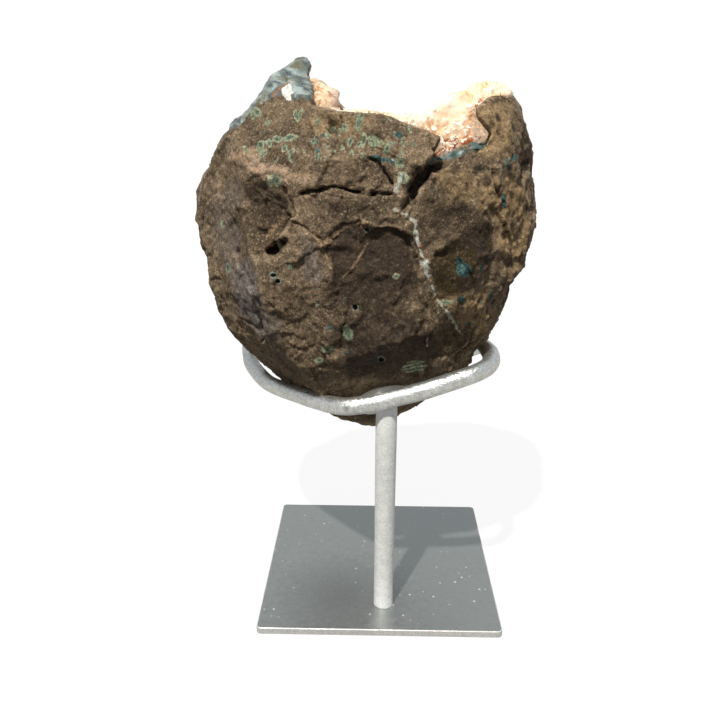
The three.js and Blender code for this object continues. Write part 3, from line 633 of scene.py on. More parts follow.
# ---- materials -------------------------------------------------------------------
def basalt(settings):
    """Amygdaloidal basalt, broken: matte, fine grained, dark brown with tan salt-and-pepper grains."""
    material, tree = fresh_material("broken_basalt")
    place = add(tree, "ShaderNodeTexCoord", out="Object")
    # Noise patterns: size of their lumps in mm, detail, roughness, distortion.
    patterns = {
        # Grains are 0.3 to 0.6 mm in the rock and are drawn near 0.8 mm, so that they show.
        "grains": (0.8, 2.0, 0.65, 0.0),
        "clouds": (17, 6.0, 0.62, 0.4),
        "patches": (4.5, 4.0, 0.6, 0.0),
        # Threads of lighter and darker mineral, about 1 mm long.
        "threads": (1.05, 3.0, 0.72, 1.8),
        # The celadonite skin's blotches, 3 to 6 mm.
        "broad": (6, 2.5, 0.55, 0.5),
        "rough_grain": (1.1, 4.0, 0.7, 0.0),
    }
    noise = {}
    for name, (size, detail, roughness, distortion) in patterns.items():
        noise[name] = add(tree, "ShaderNodeTexNoise", {
            "Vector": place, "Scale": 1 / (size * MM), "Detail": detail, "Roughness": roughness,
            "Distortion": distortion})
    pepper = add(tree, "ShaderNodeTexNoise", {
        "Vector": place, "W": 3.7, "Scale": 1 / (1.3 * MM), "Detail": 3.0, "Roughness": 0.6},
        noise_dimensions="4D")
    # What shows of each pattern: where it starts, where it is full, and how strong it is then.
    showing = {
        "fleck": (noise["grains"], 0.54, 0.69, 0.68),
        "pepper": (pepper, 0.53, 0.66, 0.6),
        "cloud": (noise["clouds"], 0.36, 0.62, 1.0),
        "patch": (noise["patches"], 0.45, 0.7, 0.35),
        "blotch": (noise["patches"], 0.36, 0.62, 1.0),
        "speck": (noise["threads"], 0.42, 0.6, 1.0),
        "broad": (noise["broad"], 0.4, 0.6, 1.0),
        "stained": (noise["patches"], 0.34, 0.5, 1.0),
    }
    shares = {}
    for name, (pattern, low, high, full) in showing.items():
        shares[name] = add(tree, "ShaderNodeMapRange", {
            "Value": pattern, "From Min": low, "From Max": high, "To Max": full})
    colour = (*settings.dark, 1)
    for name, tint in (("cloud", (*settings.brown, 1)), ("patch", paint("#8A765F")),
                       ("fleck", (*settings.fleck, 1))):
        colour = add(tree, "ShaderNodeMix", {0: shares[name], 6: colour, 7: tint}, **MIX_COLOURS)

    # Zones that the mesh carries: how much, the colour, and how the grain breaks their edges.
    zones = [
        ("pink_tan", "#AD937A", "grains"), ("golden_tan", "#A08661", "patches"),
        ("olive", "#33270C", "patches"), ("lavender", "#7A716B", "grains"),
        # The dark zone is darker rock and painted shade; the light edges are wear and painted highlight.
        ("deep_brown", "#3C3026", "patches"), ("worn_and_lit", "#A58B6C", "grains"),
    ]
    for name, code, breaker in zones:
        amount = add(tree, "ShaderNodeAttribute", out="Fac", attribute_name=name)
        broken = add(tree, "ShaderNodeMath", {0: amount, 1: noise[breaker]}, operation="ADD")
        share = add(tree, "ShaderNodeMapRange", {
            "Value": broken, "From Min": 0.55, "From Max": 1.25, "To Max": 0.9})
        colour = add(tree, "ShaderNodeMix", {0: share, 6: colour, 7: paint(code)}, **MIX_COLOURS)

    # The grain itself is the threads. Painted shade darkens the hollows and a painted highlight lightens
    # the ridges.
    thread_tone = add(tree, "ShaderNodeMapRange", {
        "Value": noise["threads"], "From Min": 0.3, "From Max": 0.7, "To Min": 0.34, "To Max": 1.76})
    stands = add(tree, "ShaderNodeAttribute", out="Fac", attribute_name="relief")
    wear_and_relief_shade = add(tree, "ShaderNodeMapRange", {
        "Value": stands, "From Min": 0.1, "From Max": 0.9, "To Min": 0.62, "To Max": 1.42})
    grain_tone = add(tree, "ShaderNodeMath", {0: thread_tone, 1: wear_and_relief_shade}, operation="MULTIPLY")
    colour = add(tree, "ShaderNodeHueSaturation", {"Value": grain_tone, "Color": colour})
    colour = add(tree, "ShaderNodeMix", {0: shares["pepper"], 6: colour, 7: paint("#2E251D")},
                 **MIX_COLOURS)

    # Minerals that fill the bubbles and coat the surface, over the grain, and painted shade in cracks
    # and bubble middles.
    # Colour, colour of the blotches, colour of the specks, where it starts and where it is full.
    fillings = {
        "green": ("#C9CDA8", "#9CAE93", "#6B6A50", 0.4, 0.75),
        "heart": ("#4F6A60", "#7C8C78", "#3A4038", 0.4, 0.8),
        "skin": ("#B0BEBA", "#5A686B", "#77765F", 0.3, 0.8),
        "teal": ("#466D6A", "#688E88", "#22383A", 0.35, 0.75),
        "pale": ("#F2EADC", "#DDD2BE", "#9AA597", 0.35, 0.8),
        "ring": ("#B4B9AA", "#8FA59A", "#5C6258", 0.4, 0.7),
        "rust": ("#A4552A", "#7F3416", "#C98B5C", 0.45, 0.9),
        # Painted shade: near black in the rimmed bubbles' middles and down the cracks.
        "crack_shade": ("#120E0A", "#1B1510", "#0C0A08", 0.3, 0.8),
        "window": ("#FFFAEE", "#FFF0DA", "#FFFDF8", 0.4, 0.65),
    }
    # The threads break the edge of each filling by this much, to both sides alike.
    ragged = add(tree, "ShaderNodeMath", {0: noise["threads"], 1: 0.9, 2: -0.45},
                 operation="MULTIPLY_ADD")
    for name, (code, blotch, speck, low, high) in fillings.items():
        amount = add(tree, "ShaderNodeAttribute", out="Fac", attribute_name=name)
        blotched, specked = ("broad", "stained") if name == "skin" else ("blotch", "speck")
        tinted = add(tree, "ShaderNodeMix", {0: shares[blotched], 6: paint(code), 7: paint(blotch)},
                     **MIX_COLOURS)
        tinted = add(tree, "ShaderNodeMix", {0: shares[specked], 6: paint(speck), 7: tinted},
                     **MIX_COLOURS)
        shifted = add(tree, "ShaderNodeMath", {0: amount, 1: ragged}, operation="ADD")
        share = add(tree, "ShaderNodeMapRange", {
            "Value": shifted, "From Min": low, "From Max": high, "To Max": 0.94})
        colour = add(tree, "ShaderNodeMix", {0: share, 6: colour, 7: tinted}, **MIX_COLOURS)

    # The grain's relief is about 0.3 mm wide and is drawn near 1.1 mm, and pits lie 2.6 mm apart, so
    # that the raking light picks them out.
    pitted = add(tree, "ShaderNodeTexVoronoi", {"Vector": place, "Scale": 1 / (2.6 * MM)},
                 out="Distance")
    relief = add(tree, "ShaderNodeMath", {0: pitted, 1: 0.35, 2: noise["rough_grain"]},
                 operation="MULTIPLY_ADD")
    bump = add(tree, "ShaderNodeBump", {"Strength": 0.75, "Distance": 0.8 * MM, "Height": relief})
    surface = add(tree, "ShaderNodeBsdfPrincipled", {
        "Base Color": colour, "Roughness": 0.88, "IOR": 1.5, "Specular IOR Level": 0.3, "Normal": bump})
    add(tree, "ShaderNodeOutputMaterial", {"Surface": surface})
    return material


def stilbite(settings):
    """Stilbite, grown: pearly cream to peach blades with faint growth lines and rust stain."""
    material, tree = fresh_material("grown_stilbite")
    place = add(tree, "ShaderNodeTexCoord", out="Object")
    clouds = add(tree, "ShaderNodeTexNoise", {"Vector": place, "Scale": 1 / (9 * MM), "Detail": 4.0})
    # Growth lines are finer than 0.2 mm and are drawn near 0.6 mm, so that they show.
    lines = add(tree, "ShaderNodeTexNoise", {
        "Vector": place, "Scale": 1 / (0.7 * MM), "Detail": 3.0, "Distortion": 1.2})
    cloud_share = add(tree, "ShaderNodeMapRange", {"Value": clouds, "From Min": 0.4, "From Max": 0.65})
    colour = add(tree, "ShaderNodeMix", {
        0: cloud_share, 6: (*settings.cream, 1), 7: (*settings.peach, 1)}, **MIX_COLOURS)
    # Deep in the hollow the crystals are painted in shade, a darker copy of their colours than at the
    # bruised white edge.
    painted_deep_shade = add(tree, "ShaderNodeMix", {0: cloud_share, 6: paint("#CBB89E"), 7: paint("#BF9468")},
               **MIX_COLOURS)
    tip = add(tree, "ShaderNodeAttribute", out="Fac", attribute_name="tip")
    colour = add(tree, "ShaderNodeMix", {0: tip, 6: colour, 7: paint("#FFF8EE")}, **MIX_COLOURS)
    painted_deep_shade = add(tree, "ShaderNodeMix", {0: tip, 6: painted_deep_shade, 7: paint("#E6DAC6")}, **MIX_COLOURS)
    bruised_and_glowing = add(tree, "ShaderNodeAttribute", out="Fac", attribute_name="bruised_and_glowing")
    colour = add(tree, "ShaderNodeMix", {0: bruised_and_glowing, 6: painted_deep_shade, 7: colour}, **MIX_COLOURS)
    # The stain runs in streaks, about three times as long as they are wide, up to the right.
    along = add(tree, "ShaderNodeMapping", {
        "Vector": place, "Rotation": (0, -0.5, 0), "Scale": (3, 1, 1)}, vector_type="TEXTURE")
    veins = add(tree, "ShaderNodeTexNoise", {
        "Vector": along, "Scale": 1 / (1.5 * MM), "Detail": 2.0, "Roughness": 0.5, "Distortion": 0.8})
    streaks = add(tree, "ShaderNodeMapRange", {
        "Value": veins, "From Min": 0.38, "From Max": 0.62, "To Min": -0.75, "To Max": 0.38})
    stain = add(tree, "ShaderNodeMix", {
        0: cloud_share, 6: (*settings.rust, 1), 7: paint("#C97A45")}, **MIX_COLOURS)
    for name, tint in (("warm", "#F3C7A0"), ("dusky", "#C2AE9F")):
        amount = add(tree, "ShaderNodeAttribute", out="Fac", attribute_name=name)
        colour = add(tree, "ShaderNodeMix", {0: amount, 6: colour, 7: paint(tint)}, **MIX_COLOURS)
    for name, tint in (("rust", stain), ("skin", paint("#6E8F8A"))):
        amount = add(tree, "ShaderNodeAttribute", out="Fac", attribute_name=name)
        shifted = add(tree, "ShaderNodeMath", {0: amount, 1: streaks}, operation="ADD")
        share = add(tree, "ShaderNodeMapRange", {
            "Value": shifted, "From Min": 0.55, "From Max": 0.95, "To Max": 0.95})
        colour = add(tree, "ShaderNodeMix", {0: share, 6: colour, 7: tint}, **MIX_COLOURS)
    # Painted glow: emission that makes the bruised crystals shine as if lit from inside, and little in
    # the hollow.
    painted_glow_colour = add(tree, "ShaderNodeMix", {0: bruised_and_glowing, 6: paint("#2A241C"), 7: colour}, **MIX_COLOURS)
    bump = add(tree, "ShaderNodeBump", {"Strength": 0.35, "Distance": 0.4 * MM, "Height": lines})
    surface = add(tree, "ShaderNodeBsdfPrincipled", {
        "Base Color": colour, "Roughness": 0.42, "IOR": 1.5, "Subsurface Weight": 0.3,
        "Subsurface Radius": (0.004, 0.003, 0.002), "Subsurface Scale": 0.6, "Normal": bump,
        "Emission Color": painted_glow_colour, "Emission Strength": settings.glow})
    add(tree, "ShaderNodeOutputMaterial", {"Surface": surface})
    return material


def silver_paint(name, colour, roughness, metallic, texture, flake_tone, blotch, grit_share=0.0,
                 dull_marks_and_reflections=()):
    """Aluminium-flake enamel, brushed and sprayed on steel: satin silver with fine sparkle.

    texture, flake_tone and blotch are the strengths of its bumps, flakes and uneven coats, grit_share
    that of the pale specks, and dull_marks_and_reflections are dull places, scratches and painted dark
    reflections: middle, reach, tone.
    """
    material, tree = fresh_material(name)
    place = add(tree, "ShaderNodeTexCoord", out="Object")
    # Flakes are about 0.05 mm and are drawn near 0.5 mm, so that they glint.
    flakes = add(tree, "ShaderNodeTexVoronoi", {"Vector": place, "Scale": 1 / (0.55 * MM)},
                 out="Color")
    flake = add(tree, "ShaderNodeSeparateColor", {"Color": flakes})
    runs = add(tree, "ShaderNodeTexNoise", {
        "Vector": place, "Scale": 1 / (3.2 * MM), "Detail": 4.0, "Roughness": 0.6})
    specks = add(tree, "ShaderNodeTexNoise", {"Vector": place, "Scale": 1 / (0.6 * MM), "Detail": 2.0})
    shade = add(tree, "ShaderNodeMapRange", {
        "Value": flake, "To Min": 1 - flake_tone, "To Max": 1 + flake_tone})
    uneven = add(tree, "ShaderNodeMapRange", {
        "Value": runs, "From Min": 0.3, "From Max": 0.7, "To Min": 1 - blotch, "To Max": 1 + blotch})
    shade = add(tree, "ShaderNodeMath", {0: shade, 1: uneven}, operation="MULTIPLY")
    tone = add(tree, "ShaderNodeHueSaturation", {"Value": shade, "Color": (*colour, 1)})
    # Grit under the paint is about 0.2 mm and is drawn near 0.6 mm, so that a few pale specks show.
    grit = add(tree, "ShaderNodeTexVoronoi", {"Vector": place, "Scale": 1 / (3.4 * MM)},
               out="Distance")
    which = add(tree, "ShaderNodeTexVoronoi", {"Vector": place, "Scale": 1 / (3.4 * MM)}, out="Color")
    chosen = add(tree, "ShaderNodeSeparateColor", {"Color": which})
    size = add(tree, "ShaderNodeMapRange", {"Value": chosen, "From Min": 0.3, "To Max": 0.155})
    speck = add(tree, "ShaderNodeMath", {0: size, 1: grit}, operation="GREATER_THAN")
    ground_edge = add(tree, "ShaderNodeAttribute", out="Fac", attribute_name="ground_edge")
    bright = add(tree, "ShaderNodeMath", {0: speck, 1: grit_share}, operation="MULTIPLY")
    wear_and_relief_shade = add(tree, "ShaderNodeMapRange", {
        "Value": specks, "From Min": 0.35, "From Max": 0.6, "To Min": 0.6, "To Max": 1.1})
    ground = add(tree, "ShaderNodeMath", {0: ground_edge, 1: wear_and_relief_shade}, operation="MULTIPLY")
    bright = add(tree, "ShaderNodeMath", {0: bright, 1: ground}, operation="MAXIMUM")
    tone = add(tree, "ShaderNodeMix", {0: bright, 6: tone, 7: paint("#F4F2EC")}, **MIX_COLOURS)
    metal = add(tree, "ShaderNodeMapRange", {"Value": bright, "To Min": metallic, "To Max": 0.2})
    gloss = add(tree, "ShaderNodeMapRange", {
        "Value": runs, "From Min": 0.3, "From Max": 0.7, "To Min": roughness - 0.05,
        "To Max": roughness + 0.07})
    relief = add(tree, "ShaderNodeMath", {0: specks, 1: texture, 2: runs}, operation="MULTIPLY_ADD")
    bump = add(tree, "ShaderNodeBump", {
        "Strength": 0.3 + 0.2 * texture, "Distance": 0.3 * MM, "Height": relief})
    ragged = add(tree, "ShaderNodeMapRange", {"Value": runs, "To Min": 0.4, "To Max": 1.6})
    # Dull places darken the tone; on the plate this is a painted reflection of the dark stone.
    for middle, reach, darkest in dull_marks_and_reflections:
        away = add(tree, "ShaderNodeVectorMath", {0: place, 1: [c * MM for c in middle]},
                   out="Value", operation="DISTANCE")
        away = add(tree, "ShaderNodeMath", {0: away, 1: ragged}, operation="MULTIPLY")
        dim = add(tree, "ShaderNodeMapRange", {
            "Value": away, "From Min": 0.1 * reach * MM, "From Max": reach * MM, "To Min": darkest})
        tone = add(tree, "ShaderNodeHueSaturation", {"Value": dim, "Color": tone})
    surface = add(tree, "ShaderNodeBsdfPrincipled", {
        "Base Color": tone, "Metallic": metal, "Roughness": gloss, "Normal": bump})
    add(tree, "ShaderNodeOutputMaterial", {"Surface": surface})
    return material


def pale_floor():
    """Pale card, matt, lit evenly from behind so that only a faint shadow shows."""
    material, tree = fresh_material("pale_card")
    card = add(tree, "ShaderNodeBsdfDiffuse", {"Color": (0.12, 0.12, 0.12, 1)})
    glow = add(tree, "ShaderNodeEmission", {"Color": (0.9, 0.9, 0.895, 1), "Strength": 1.0})
    both = add(tree, "ShaderNodeAddShader", {0: card, 1: glow})
    add(tree, "ShaderNodeOutputMaterial", {"Surface": both})
    return material


# ---- the stone -------------------------------------------------------------------
def near_side(places, normals):
    """How much each vertex belongs to the near side, which EYE sees."""
    facing = ramp(facing_eye(places, normals), -0.05, 0.25)
    return facing * ramp(-places[:, 1], -34, -24) * ramp(beyond_hollow(places), 0.3, 1.5)


def split_edges(shape, marked):
    """Halves the edges whose two vertices are both marked, which splits the faces there."""
    shape.verts.index_update()
    edges = [e for e in shape.edges if marked[e.verts[0].index] and marked[e.verts[1].index]]
    bmesh.ops.subdivide_edges(shape, edges=edges, cuts=1, use_grid_fill=True)


def smooth(shape, verts, factor, passes):
    """Evens out the vertices a little with each pass."""
    for _ in range(passes):
        bmesh.ops.smooth_vert(shape, verts=verts, factor=factor, use_axis_x=True, use_axis_y=True,
                              use_axis_z=True)


def close_to(x, z, lines, line_reach, dots, dot_reach):
    """Marks the places within reach of any of the lines or dots."""
    close = np.zeros(len(x), bool)
    for line in lines:
        close |= off_line(x, z, line) < line_reach
    for dot in dots:
        close |= np.hypot(x - dot[0], z - dot[1]) < dot_reach
    return close


def lower_rim(places, x, z):
    """Presses the rock that EYE sees above the rim's line down towards it."""
    top = height_of(RIM_LINE, x)
    high = (x > RIM_LINE[0][0]) & (x < RIM_LINE[-1][0]) & (z > top) & (places[:, 1] < -14)
    places[:, 2] -= np.where(high, (z - top) * 0.9, 0)


def stone_shape(settings):
    """The stone's mesh: the CAD form in even faces, finer where EYE sees it."""
    cad = merged_copy("basalt_matrix")
    form = BVHTree.FromBMesh(cad)
    bmesh.ops.create_icosphere(cad, subdivisions=3, radius=1, matrix=oval_at(*PLUG))
    shape = even_faces(cad, settings.face_size)
    split_edges(shape, near_side(*places_of(shape)) > FINE_SHARE)
    # The even faces are laid back on the form wherever the plug hasn't covered it.
    for vert in shape.verts:
        spot, _, _, away = form.find_nearest(vert.co)
        if spot and away < ON_FORM * MM:
            vert.co = spot
    shape.verts.ensure_lookup_table()
    smooth(shape, shape.verts, 0.12, 1)
    places, normals = places_of(shape)
    near = near_side(places, normals)
    x, z = on_front_plane(places)
    for middle, radius, passes in SOFTENED:
        soft = (np.hypot(x - middle[0], z - middle[1]) < radius) & (places[:, 1] < 0)
        smooth(shape, [shape.verts[i] for i in np.flatnonzero(soft)], 0.5, passes)
    places, _ = places_of(shape)
    x, z = on_front_plane(places)
    lower_rim(places, x, z)
    put_places(shape, places)
    # Cracks, veins and bubbles get smaller faces, and bubbles with a rim the smallest.
    lines = [line for line, _, _ in CRACKS] + [line for line, _ in VEIN]
    dots = [middle for middle, _, _ in TEAL_BUBBLES + GREEN_BUBBLES[:4]] + RING_BUBBLES
    split_edges(shape, close_to(x, z, lines, 1.6, dots, 3.4) & (near > FINE_SHARE))
    places, normals = places_of(shape)
    x, z = on_front_plane(places)
    near = near_side(places, normals)
    split_edges(shape, close_to(x, z, [], 0, RING_BUBBLES, 2.6) & (near > FINE_SHARE))
    return shape


def spire_skin(places):
    """How much of the blue-green skin each vertex of the spire carries."""
    x, z = on_front_plane(places)
    above = ramp(z + 1.2 * lumps(places, 4, 82) - height_of(SPIRE_FOOT, x), -0.6, 0.8)
    above *= ramp(-x, 24, 30)
    torn = 6 * lumps(places, 12, 84) + 3 * lumps(places, 4.5, 88)
    reach = ramp(-beyond_hollow(places) - torn, -19, -16)
    islands = ramp(lumps(places, 6.5, 89) + 0.5 * lumps(places, 2.3, 90), 0.55, 0.8)
    front = ramp(-places[:, 1], -12, 2)
    return above * np.maximum(front, reach) * (1 - islands * (0.9 - 0.45 * front))


def stone_relief(places, strength):
    """How far each vertex moves along its normal, for the broken look of basalt."""
    # The relief is low next to the hollow, and fades out towards the top of the stone.
    strength = strength * (0.35 + 0.65 * ramp(beyond_hollow(places), 4, 13))
    strength = strength * ramp(-places[:, 2], -214, -188)
    # The right of the near side is broken more roughly.
    rough = 1 + 0.9 * ramp(places[:, 0], 24, 40) * ramp(-places[:, 1], -30, -10)
    chips = 0.55 - np.abs(lumps(places, 13, 3))
    hackle = np.abs(lumps(places + 4 * lumps(places, 9, 8)[:, None], 5.5, 5))
    terrace = 2.2 * lumps(places, 15, 21)
    ledge = np.floor(terrace) + ramp(terrace - np.floor(terrace), 0.78, 1.0)
    bent = places + np.stack([1.1 * lumps(places, 4, seed) for seed in (14, 15, 16)], axis=1)
    relief = 0.3 * lumps(places, 10, 1) + 0.2 * lumps(places, 4.2, 2)
    relief += 0.3 * rough * lumps(places, 2.1, 4)
    relief += 0.25 * lumps(places, 1.2, 6) + 0.4 * chips - 0.38 * rough * hackle + 0.4 * ledge
    relief += 1.0 * facets(bent, 15, 200) + 0.5 * facets(bent, 6.5, 300)
    # The skin on the spire is a layer of small round buds.
    buds = 0.7 - 1.1 * np.abs(lumps(places, 3.3, 86)) + 0.25 * lumps(places, 1.4, 87)
    return strength * relief + spire_skin(places) * buds


def front_marks(places, normals):
    """The cracks and steps of the near side, as moves along the normal."""
    near = near_side(places, normals)
    x, z = on_front_plane(places)
    x, z = x + 0.5 * lumps(places, 2.6, 11), z + 0.5 * lumps(places, 2.9, 12)
    move = np.zeros(len(places))
    for line, half, depth in CRACKS:
        move -= depth * near_line(x, z, line, half)
    for line, height, half in RIDGES:
        move += height * np.maximum(0, 1 - off_line(x, z, line) / half)
    for line, height in STEPS:
        side = side_of_line(x, z, line)
        reach = np.exp(-(side / 6.0) ** 2)
        move += height * (ramp(side, -0.5, 0.5) - 0.5) * reach
    for dot in RING_BUBBLES:
        away = np.hypot(x - dot[0], z - dot[1])
        move -= 0.9 * ramp(-away, -0.95, -0.5)
    return move * near


def small_bubbles():
    """Small filled bubbles strewn below the rim, as the large ones are listed."""
    strewn = random.Random(11)
    made = []
    for _ in range(SMALL_BUBBLES):
        middle = (strewn.uniform(-56, 17), strewn.uniform(182, 200))
        long = strewn.uniform(0.9, 2.3)
        made.append((middle, (long * strewn.uniform(0.35, 0.6), long), strewn.uniform(-50, 40)))
    return made


def zone_values(name, ovals, places, near):
    """How strongly each vertex carries one of the rock's coloured zones."""
    x, z = on_front_plane(places)
    wobble = 0.22 * lumps(places, 6, 31) + 0.14 * lumps(places, 2.4, 32)
    amount = most(strength * ramp(-in_oval(x, z, middle, half, turn) - wobble, -1.15, -0.55)
                  for middle, half, turn, strength in ovals)
    if name == "pink_tan":
        amount *= np.clip(0.78 + 0.6 * lumps(places, 3.4, 33), 0, 1)
    for outline, strength in ZONE_FACES.get(name, []):
        edge = into(x, z, outline)
        amount = np.maximum(amount, strength * ramp(edge + 2 * wobble, -0.7, 0.7))
    if name == "deep_brown":
        mottled = ramp(lumps(places, 4.5, 34) + 0.6 * lumps(places, 1.8, 35), 0.25, 0.6)
        amount = np.maximum(amount, 0.75 * mottled * ramp(x, 24, 36))
    # Away from the near side the zones are strewn in patches.
    far = {"golden_tan": 0.75, "pink_tan": 0.5, "deep_brown": 0.7}.get(name, 0.35)
    seed = sum(map(ord, name))
    rest = far * ramp(lumps(places, 24, seed) + 0.4 * lumps(places, 8, seed + 1), 0.25, 0.65)
    return amount * near + rest * (1 - near)


def bubble_values(piece, places, near, x, z):
    """Writes the fillings of the gas bubbles; x and z are places on the front plane that wander."""
    bubbles = GREEN_BUBBLES + small_bubbles()
    out = [in_oval(x, z, *bubble) for bubble in bubbles]
    layered = in_oval(x, z, *LAYERED_BUBBLE)
    layers = (z - 0.2 * x) * 4.5
    green = most(ramp(-far, -1.25, -0.75) for far in out)
    green = np.maximum(green, ramp(-layered, -1.1, -0.9) * (0.6 + 0.25 * np.sin(layers)))
    spots = ramp(lumps(places, 5.2, 51) + 0.5 * lumps(places, 2.2, 52), 0.78, 0.95)
    height = on_front_plane(places)[1]
    band = ramp(height, 181, 187) * ramp(-height, -203, -198)
    spots *= np.where(near > 0.5, 0.35 + 0.6 * band, 0.8)
    write_values(piece, "green", np.maximum(green * near, spots))
    heart = 0.8 * ramp(-layered, -1.0, -0.8) * (0.6 + 0.4 * np.sin(layers + 3))
    heart = np.maximum(heart, most(ramp(-far, -0.7, -0.35) for far in out))
    write_values(piece, "heart", heart * near * 0.85)


def stone_colours(piece, places, normals):
    """Writes the stone's coloured zones and mineral fillings on its mesh."""
    near = near_side(places, normals)
    x, z = on_front_plane(places)
    for name, ovals in ZONES.items():
        write_values(piece, name, zone_values(name, ovals, places, near))
    # How far each vertex stands out; the material paints shade in the hollows and highlight on the
    # ridges from it.
    relief = 0.5 + 0.28 * stand_out(piece.data, 2) + 0.22 * stand_out(piece.data, 9)
    write_values(piece, "relief", relief)
    # Worn edges, lightened with a painted highlight along them.
    worn_and_lit = most(near_line(x, z, line, half) for line, half in WORN_AND_LIT_EDGES)
    write_values(piece, "worn_and_lit", worn_and_lit * near * 0.9)

    # The edges of the fillings wander a little.
    dx, dz = x + 0.3 * lumps(places, 1.6, 41), z + 0.3 * lumps(places, 1.6, 42)
    bubble_values(piece, places, near, dx, dz)
    teal = most(ramp(-in_oval(dx, dz, *bubble), -1.2, -0.8) for bubble in TEAL_BUBBLES)
    specks = ramp(lumps(places, 7.1, 61) + 0.4 * lumps(places, 2.4, 62), 0.9, 1.0)
    teal_line = np.exp(-(off_line(dx, dz, TEAL_LINE) / 1.25) ** 4) * ramp(-places[:, 1], -20, -10)
    teal = np.maximum(teal * near, 0.8 * teal_line * ramp(lumps(places, 1.9, 63), -0.6, 0.1))
    write_values(piece, "teal", np.maximum(teal, specks * 0.7))
    away = [np.hypot(x - dot[0], z - dot[1]) / RING_BUBBLE_SIZE for dot in RING_BUBBLES]
    write_values(piece, "ring", most(np.exp(-((far - 0.82) / 0.2) ** 2) for far in away) * near)

    broken = 0.85 + 0.9 * lumps(places, 3.1, 71) + 0.8 * lumps(places, 1.3, 72)
    pale = most(near_line(dx, dz, line, np.maximum(half * broken, 0.1)) for line, half in VEIN)
    write_values(piece, "pale", pale * near)
    window = ramp(into(x, z, WINDOW) + 0.3 * lumps(places, 1.6, 73), -0.5, 0.2)
    write_values(piece, "window", window * (places[:, 1] < 5))
    dots = [np.hypot(x - dot[0], z - dot[1]) for dot in RUST_DOTS]
    rust = sum(np.exp(-(far / RUST_DOT_REACH) ** 2) for far in dots)
    # The last two lines of rust run on over the rock of the spire.
    edge = sum(share * near_line(x, z, line, 0.7)
               for (line, _, _), share in zip(RUST_LINES[-2:], (0.55, 0.85)))
    write_values(piece, "rust", np.maximum(rust * near, edge))
    # Painted shade in the rimmed bubbles' middles and down the cracks, darker in the deeper cracks.
    crack_shade = most(ramp(-far, -0.66, -0.45) for far in away) * near
    for line, half, depth in CRACKS:
        crack_shade = np.maximum(crack_shade, min(1.0, depth / 3) * near * near_line(x, z, line, 0.8 * half))
    write_values(piece, "crack_shade", crack_shade)

    # Celadonite skin: the wall next to the hollow, a line in the gap and the spire's outside.
    lining = ramp(-beyond_hollow(places), -3.2, -1.2) * (0.62 + 0.3 * lumps(places, 5, 81))
    lining *= ramp(-x, -36, -28)
    lining *= 1 - ramp(x, 12, 16) * ramp(-places[:, 1], -10, -2)
    line = teal_line * (0.85 + 0.5 * lumps(places, 1.8, 83))
    write_values(piece, "skin", most((lining, line, spire_skin(places))))


class SPECIMEN_OT_stone(bpy.types.Operator):
    """Builds the basalt stone with its relief, cracks and filled bubbles"""

    bl_idname = "specimen.stone"
    bl_label = "Basalt stone"

    def execute(self, context):
        settings = context.scene.specimen_stone
        shape = stone_shape(settings)
        places, normals = places_of(shape)
        move = stone_relief(places, settings.relief) + front_marks(places, normals)
        put_places(shape, places + normals * move[:, None])
        piece = finished("basalt_stone", shape, basalt(settings), "basalt_matrix")
        stone_colours(piece, places, normals)
        return {"FINISHED"}


# ---- the crust -------------------------------------------------------------------
def blade_mesh():
    """One stilbite blade, 1 mm in each direction: a flat hexagonal prism that narrows to a blunt tip."""
    blade = bmesh.new()
    bmesh.ops.create_cone(blade, cap_ends=True, segments=6, radius1=0.36, radius2=0.5, depth=0.8,
                          matrix=Matrix.Translation((0, 0, 0.4)))
    top = [f for f in blade.faces if f.calc_center_median().z > 0.79]
    raised = bmesh.ops.extrude_face_region(blade, geom=top)
    tip = [v for v in raised["geom"] if isinstance(v, bmesh.types.BMVert)]
    bmesh.ops.delete(blade, geom=top, context="FACES_ONLY")
    bmesh.ops.translate(blade, verts=tip, vec=(0, 0, 0.2))
    bmesh.ops.scale(blade, verts=tip, vec=(0.35, 0.6, 1))
    bmesh.ops.triangulate(blade, faces=blade.faces)
    return blade


def add_lump(shape, spot, way, x, z, size):
    """Adds one rounded lump, sunk a little along a way; x and z are where EYE sees it."""
    radius = random.uniform(0.7, 1.25) * size
    room = height_of(CRYSTAL_SKYLINE, x) - z
    if radius * 0.8 > room:
        radius = max(0.0, room) / 0.8
    if radius < 0.5 * size:
        return
    half = [radius * random.uniform(0.7, 1.15) * MM for _ in range(3)]
    turn = Matrix.Rotation(random.uniform(0, math.pi), 4, "Y")
    lump = Matrix.Translation((spot + way * 0.3 * radius) * MM) @ turn @ Matrix.Diagonal((*half, 1))
    bmesh.ops.create_icosphere(shape, subdivisions=2, radius=1, matrix=lump)


def cap(shape, form, outline, nearest, farthest, size, spacing):
    """Adds lumps on top of a form, over an outline seen from EYE and where EYE can't see it."""
    down = Vector((0, 0, -1))
    eye = Vector(EYE) * MM
    above_all = 300
    full, bare = CAP_THINS
    for x in np.arange(min(p[0] for p in outline), max(p[0] for p in outline), spacing):
        for y in np.arange(nearest, farthest, spacing):
            start = Vector((x + random.uniform(-0.5, 0.5), y + random.uniform(-0.5, 0.5), above_all))
            hit, normal = form.ray_cast(start * MM, down)[:2]
            thinned = random.random() < (y - full) / (bare - full)
            if not hit or normal.z < CAP_RISE or thinned:
                continue
            spot = np.array([hit / MM])
            seen_x, seen_z = on_front_plane(spot)
            first = form.ray_cast(eye, (hit - eye).normalized())[0]
            behind = first and (first - hit).length > 2 * MM
            hidden = behind and beyond_hollow(spot)[0] < CAP_REACH
            if hidden or inside(seen_x, seen_z, outline)[0]:
                add_lump(shape, hit / MM, down, seen_x[0], seen_z[0], size)


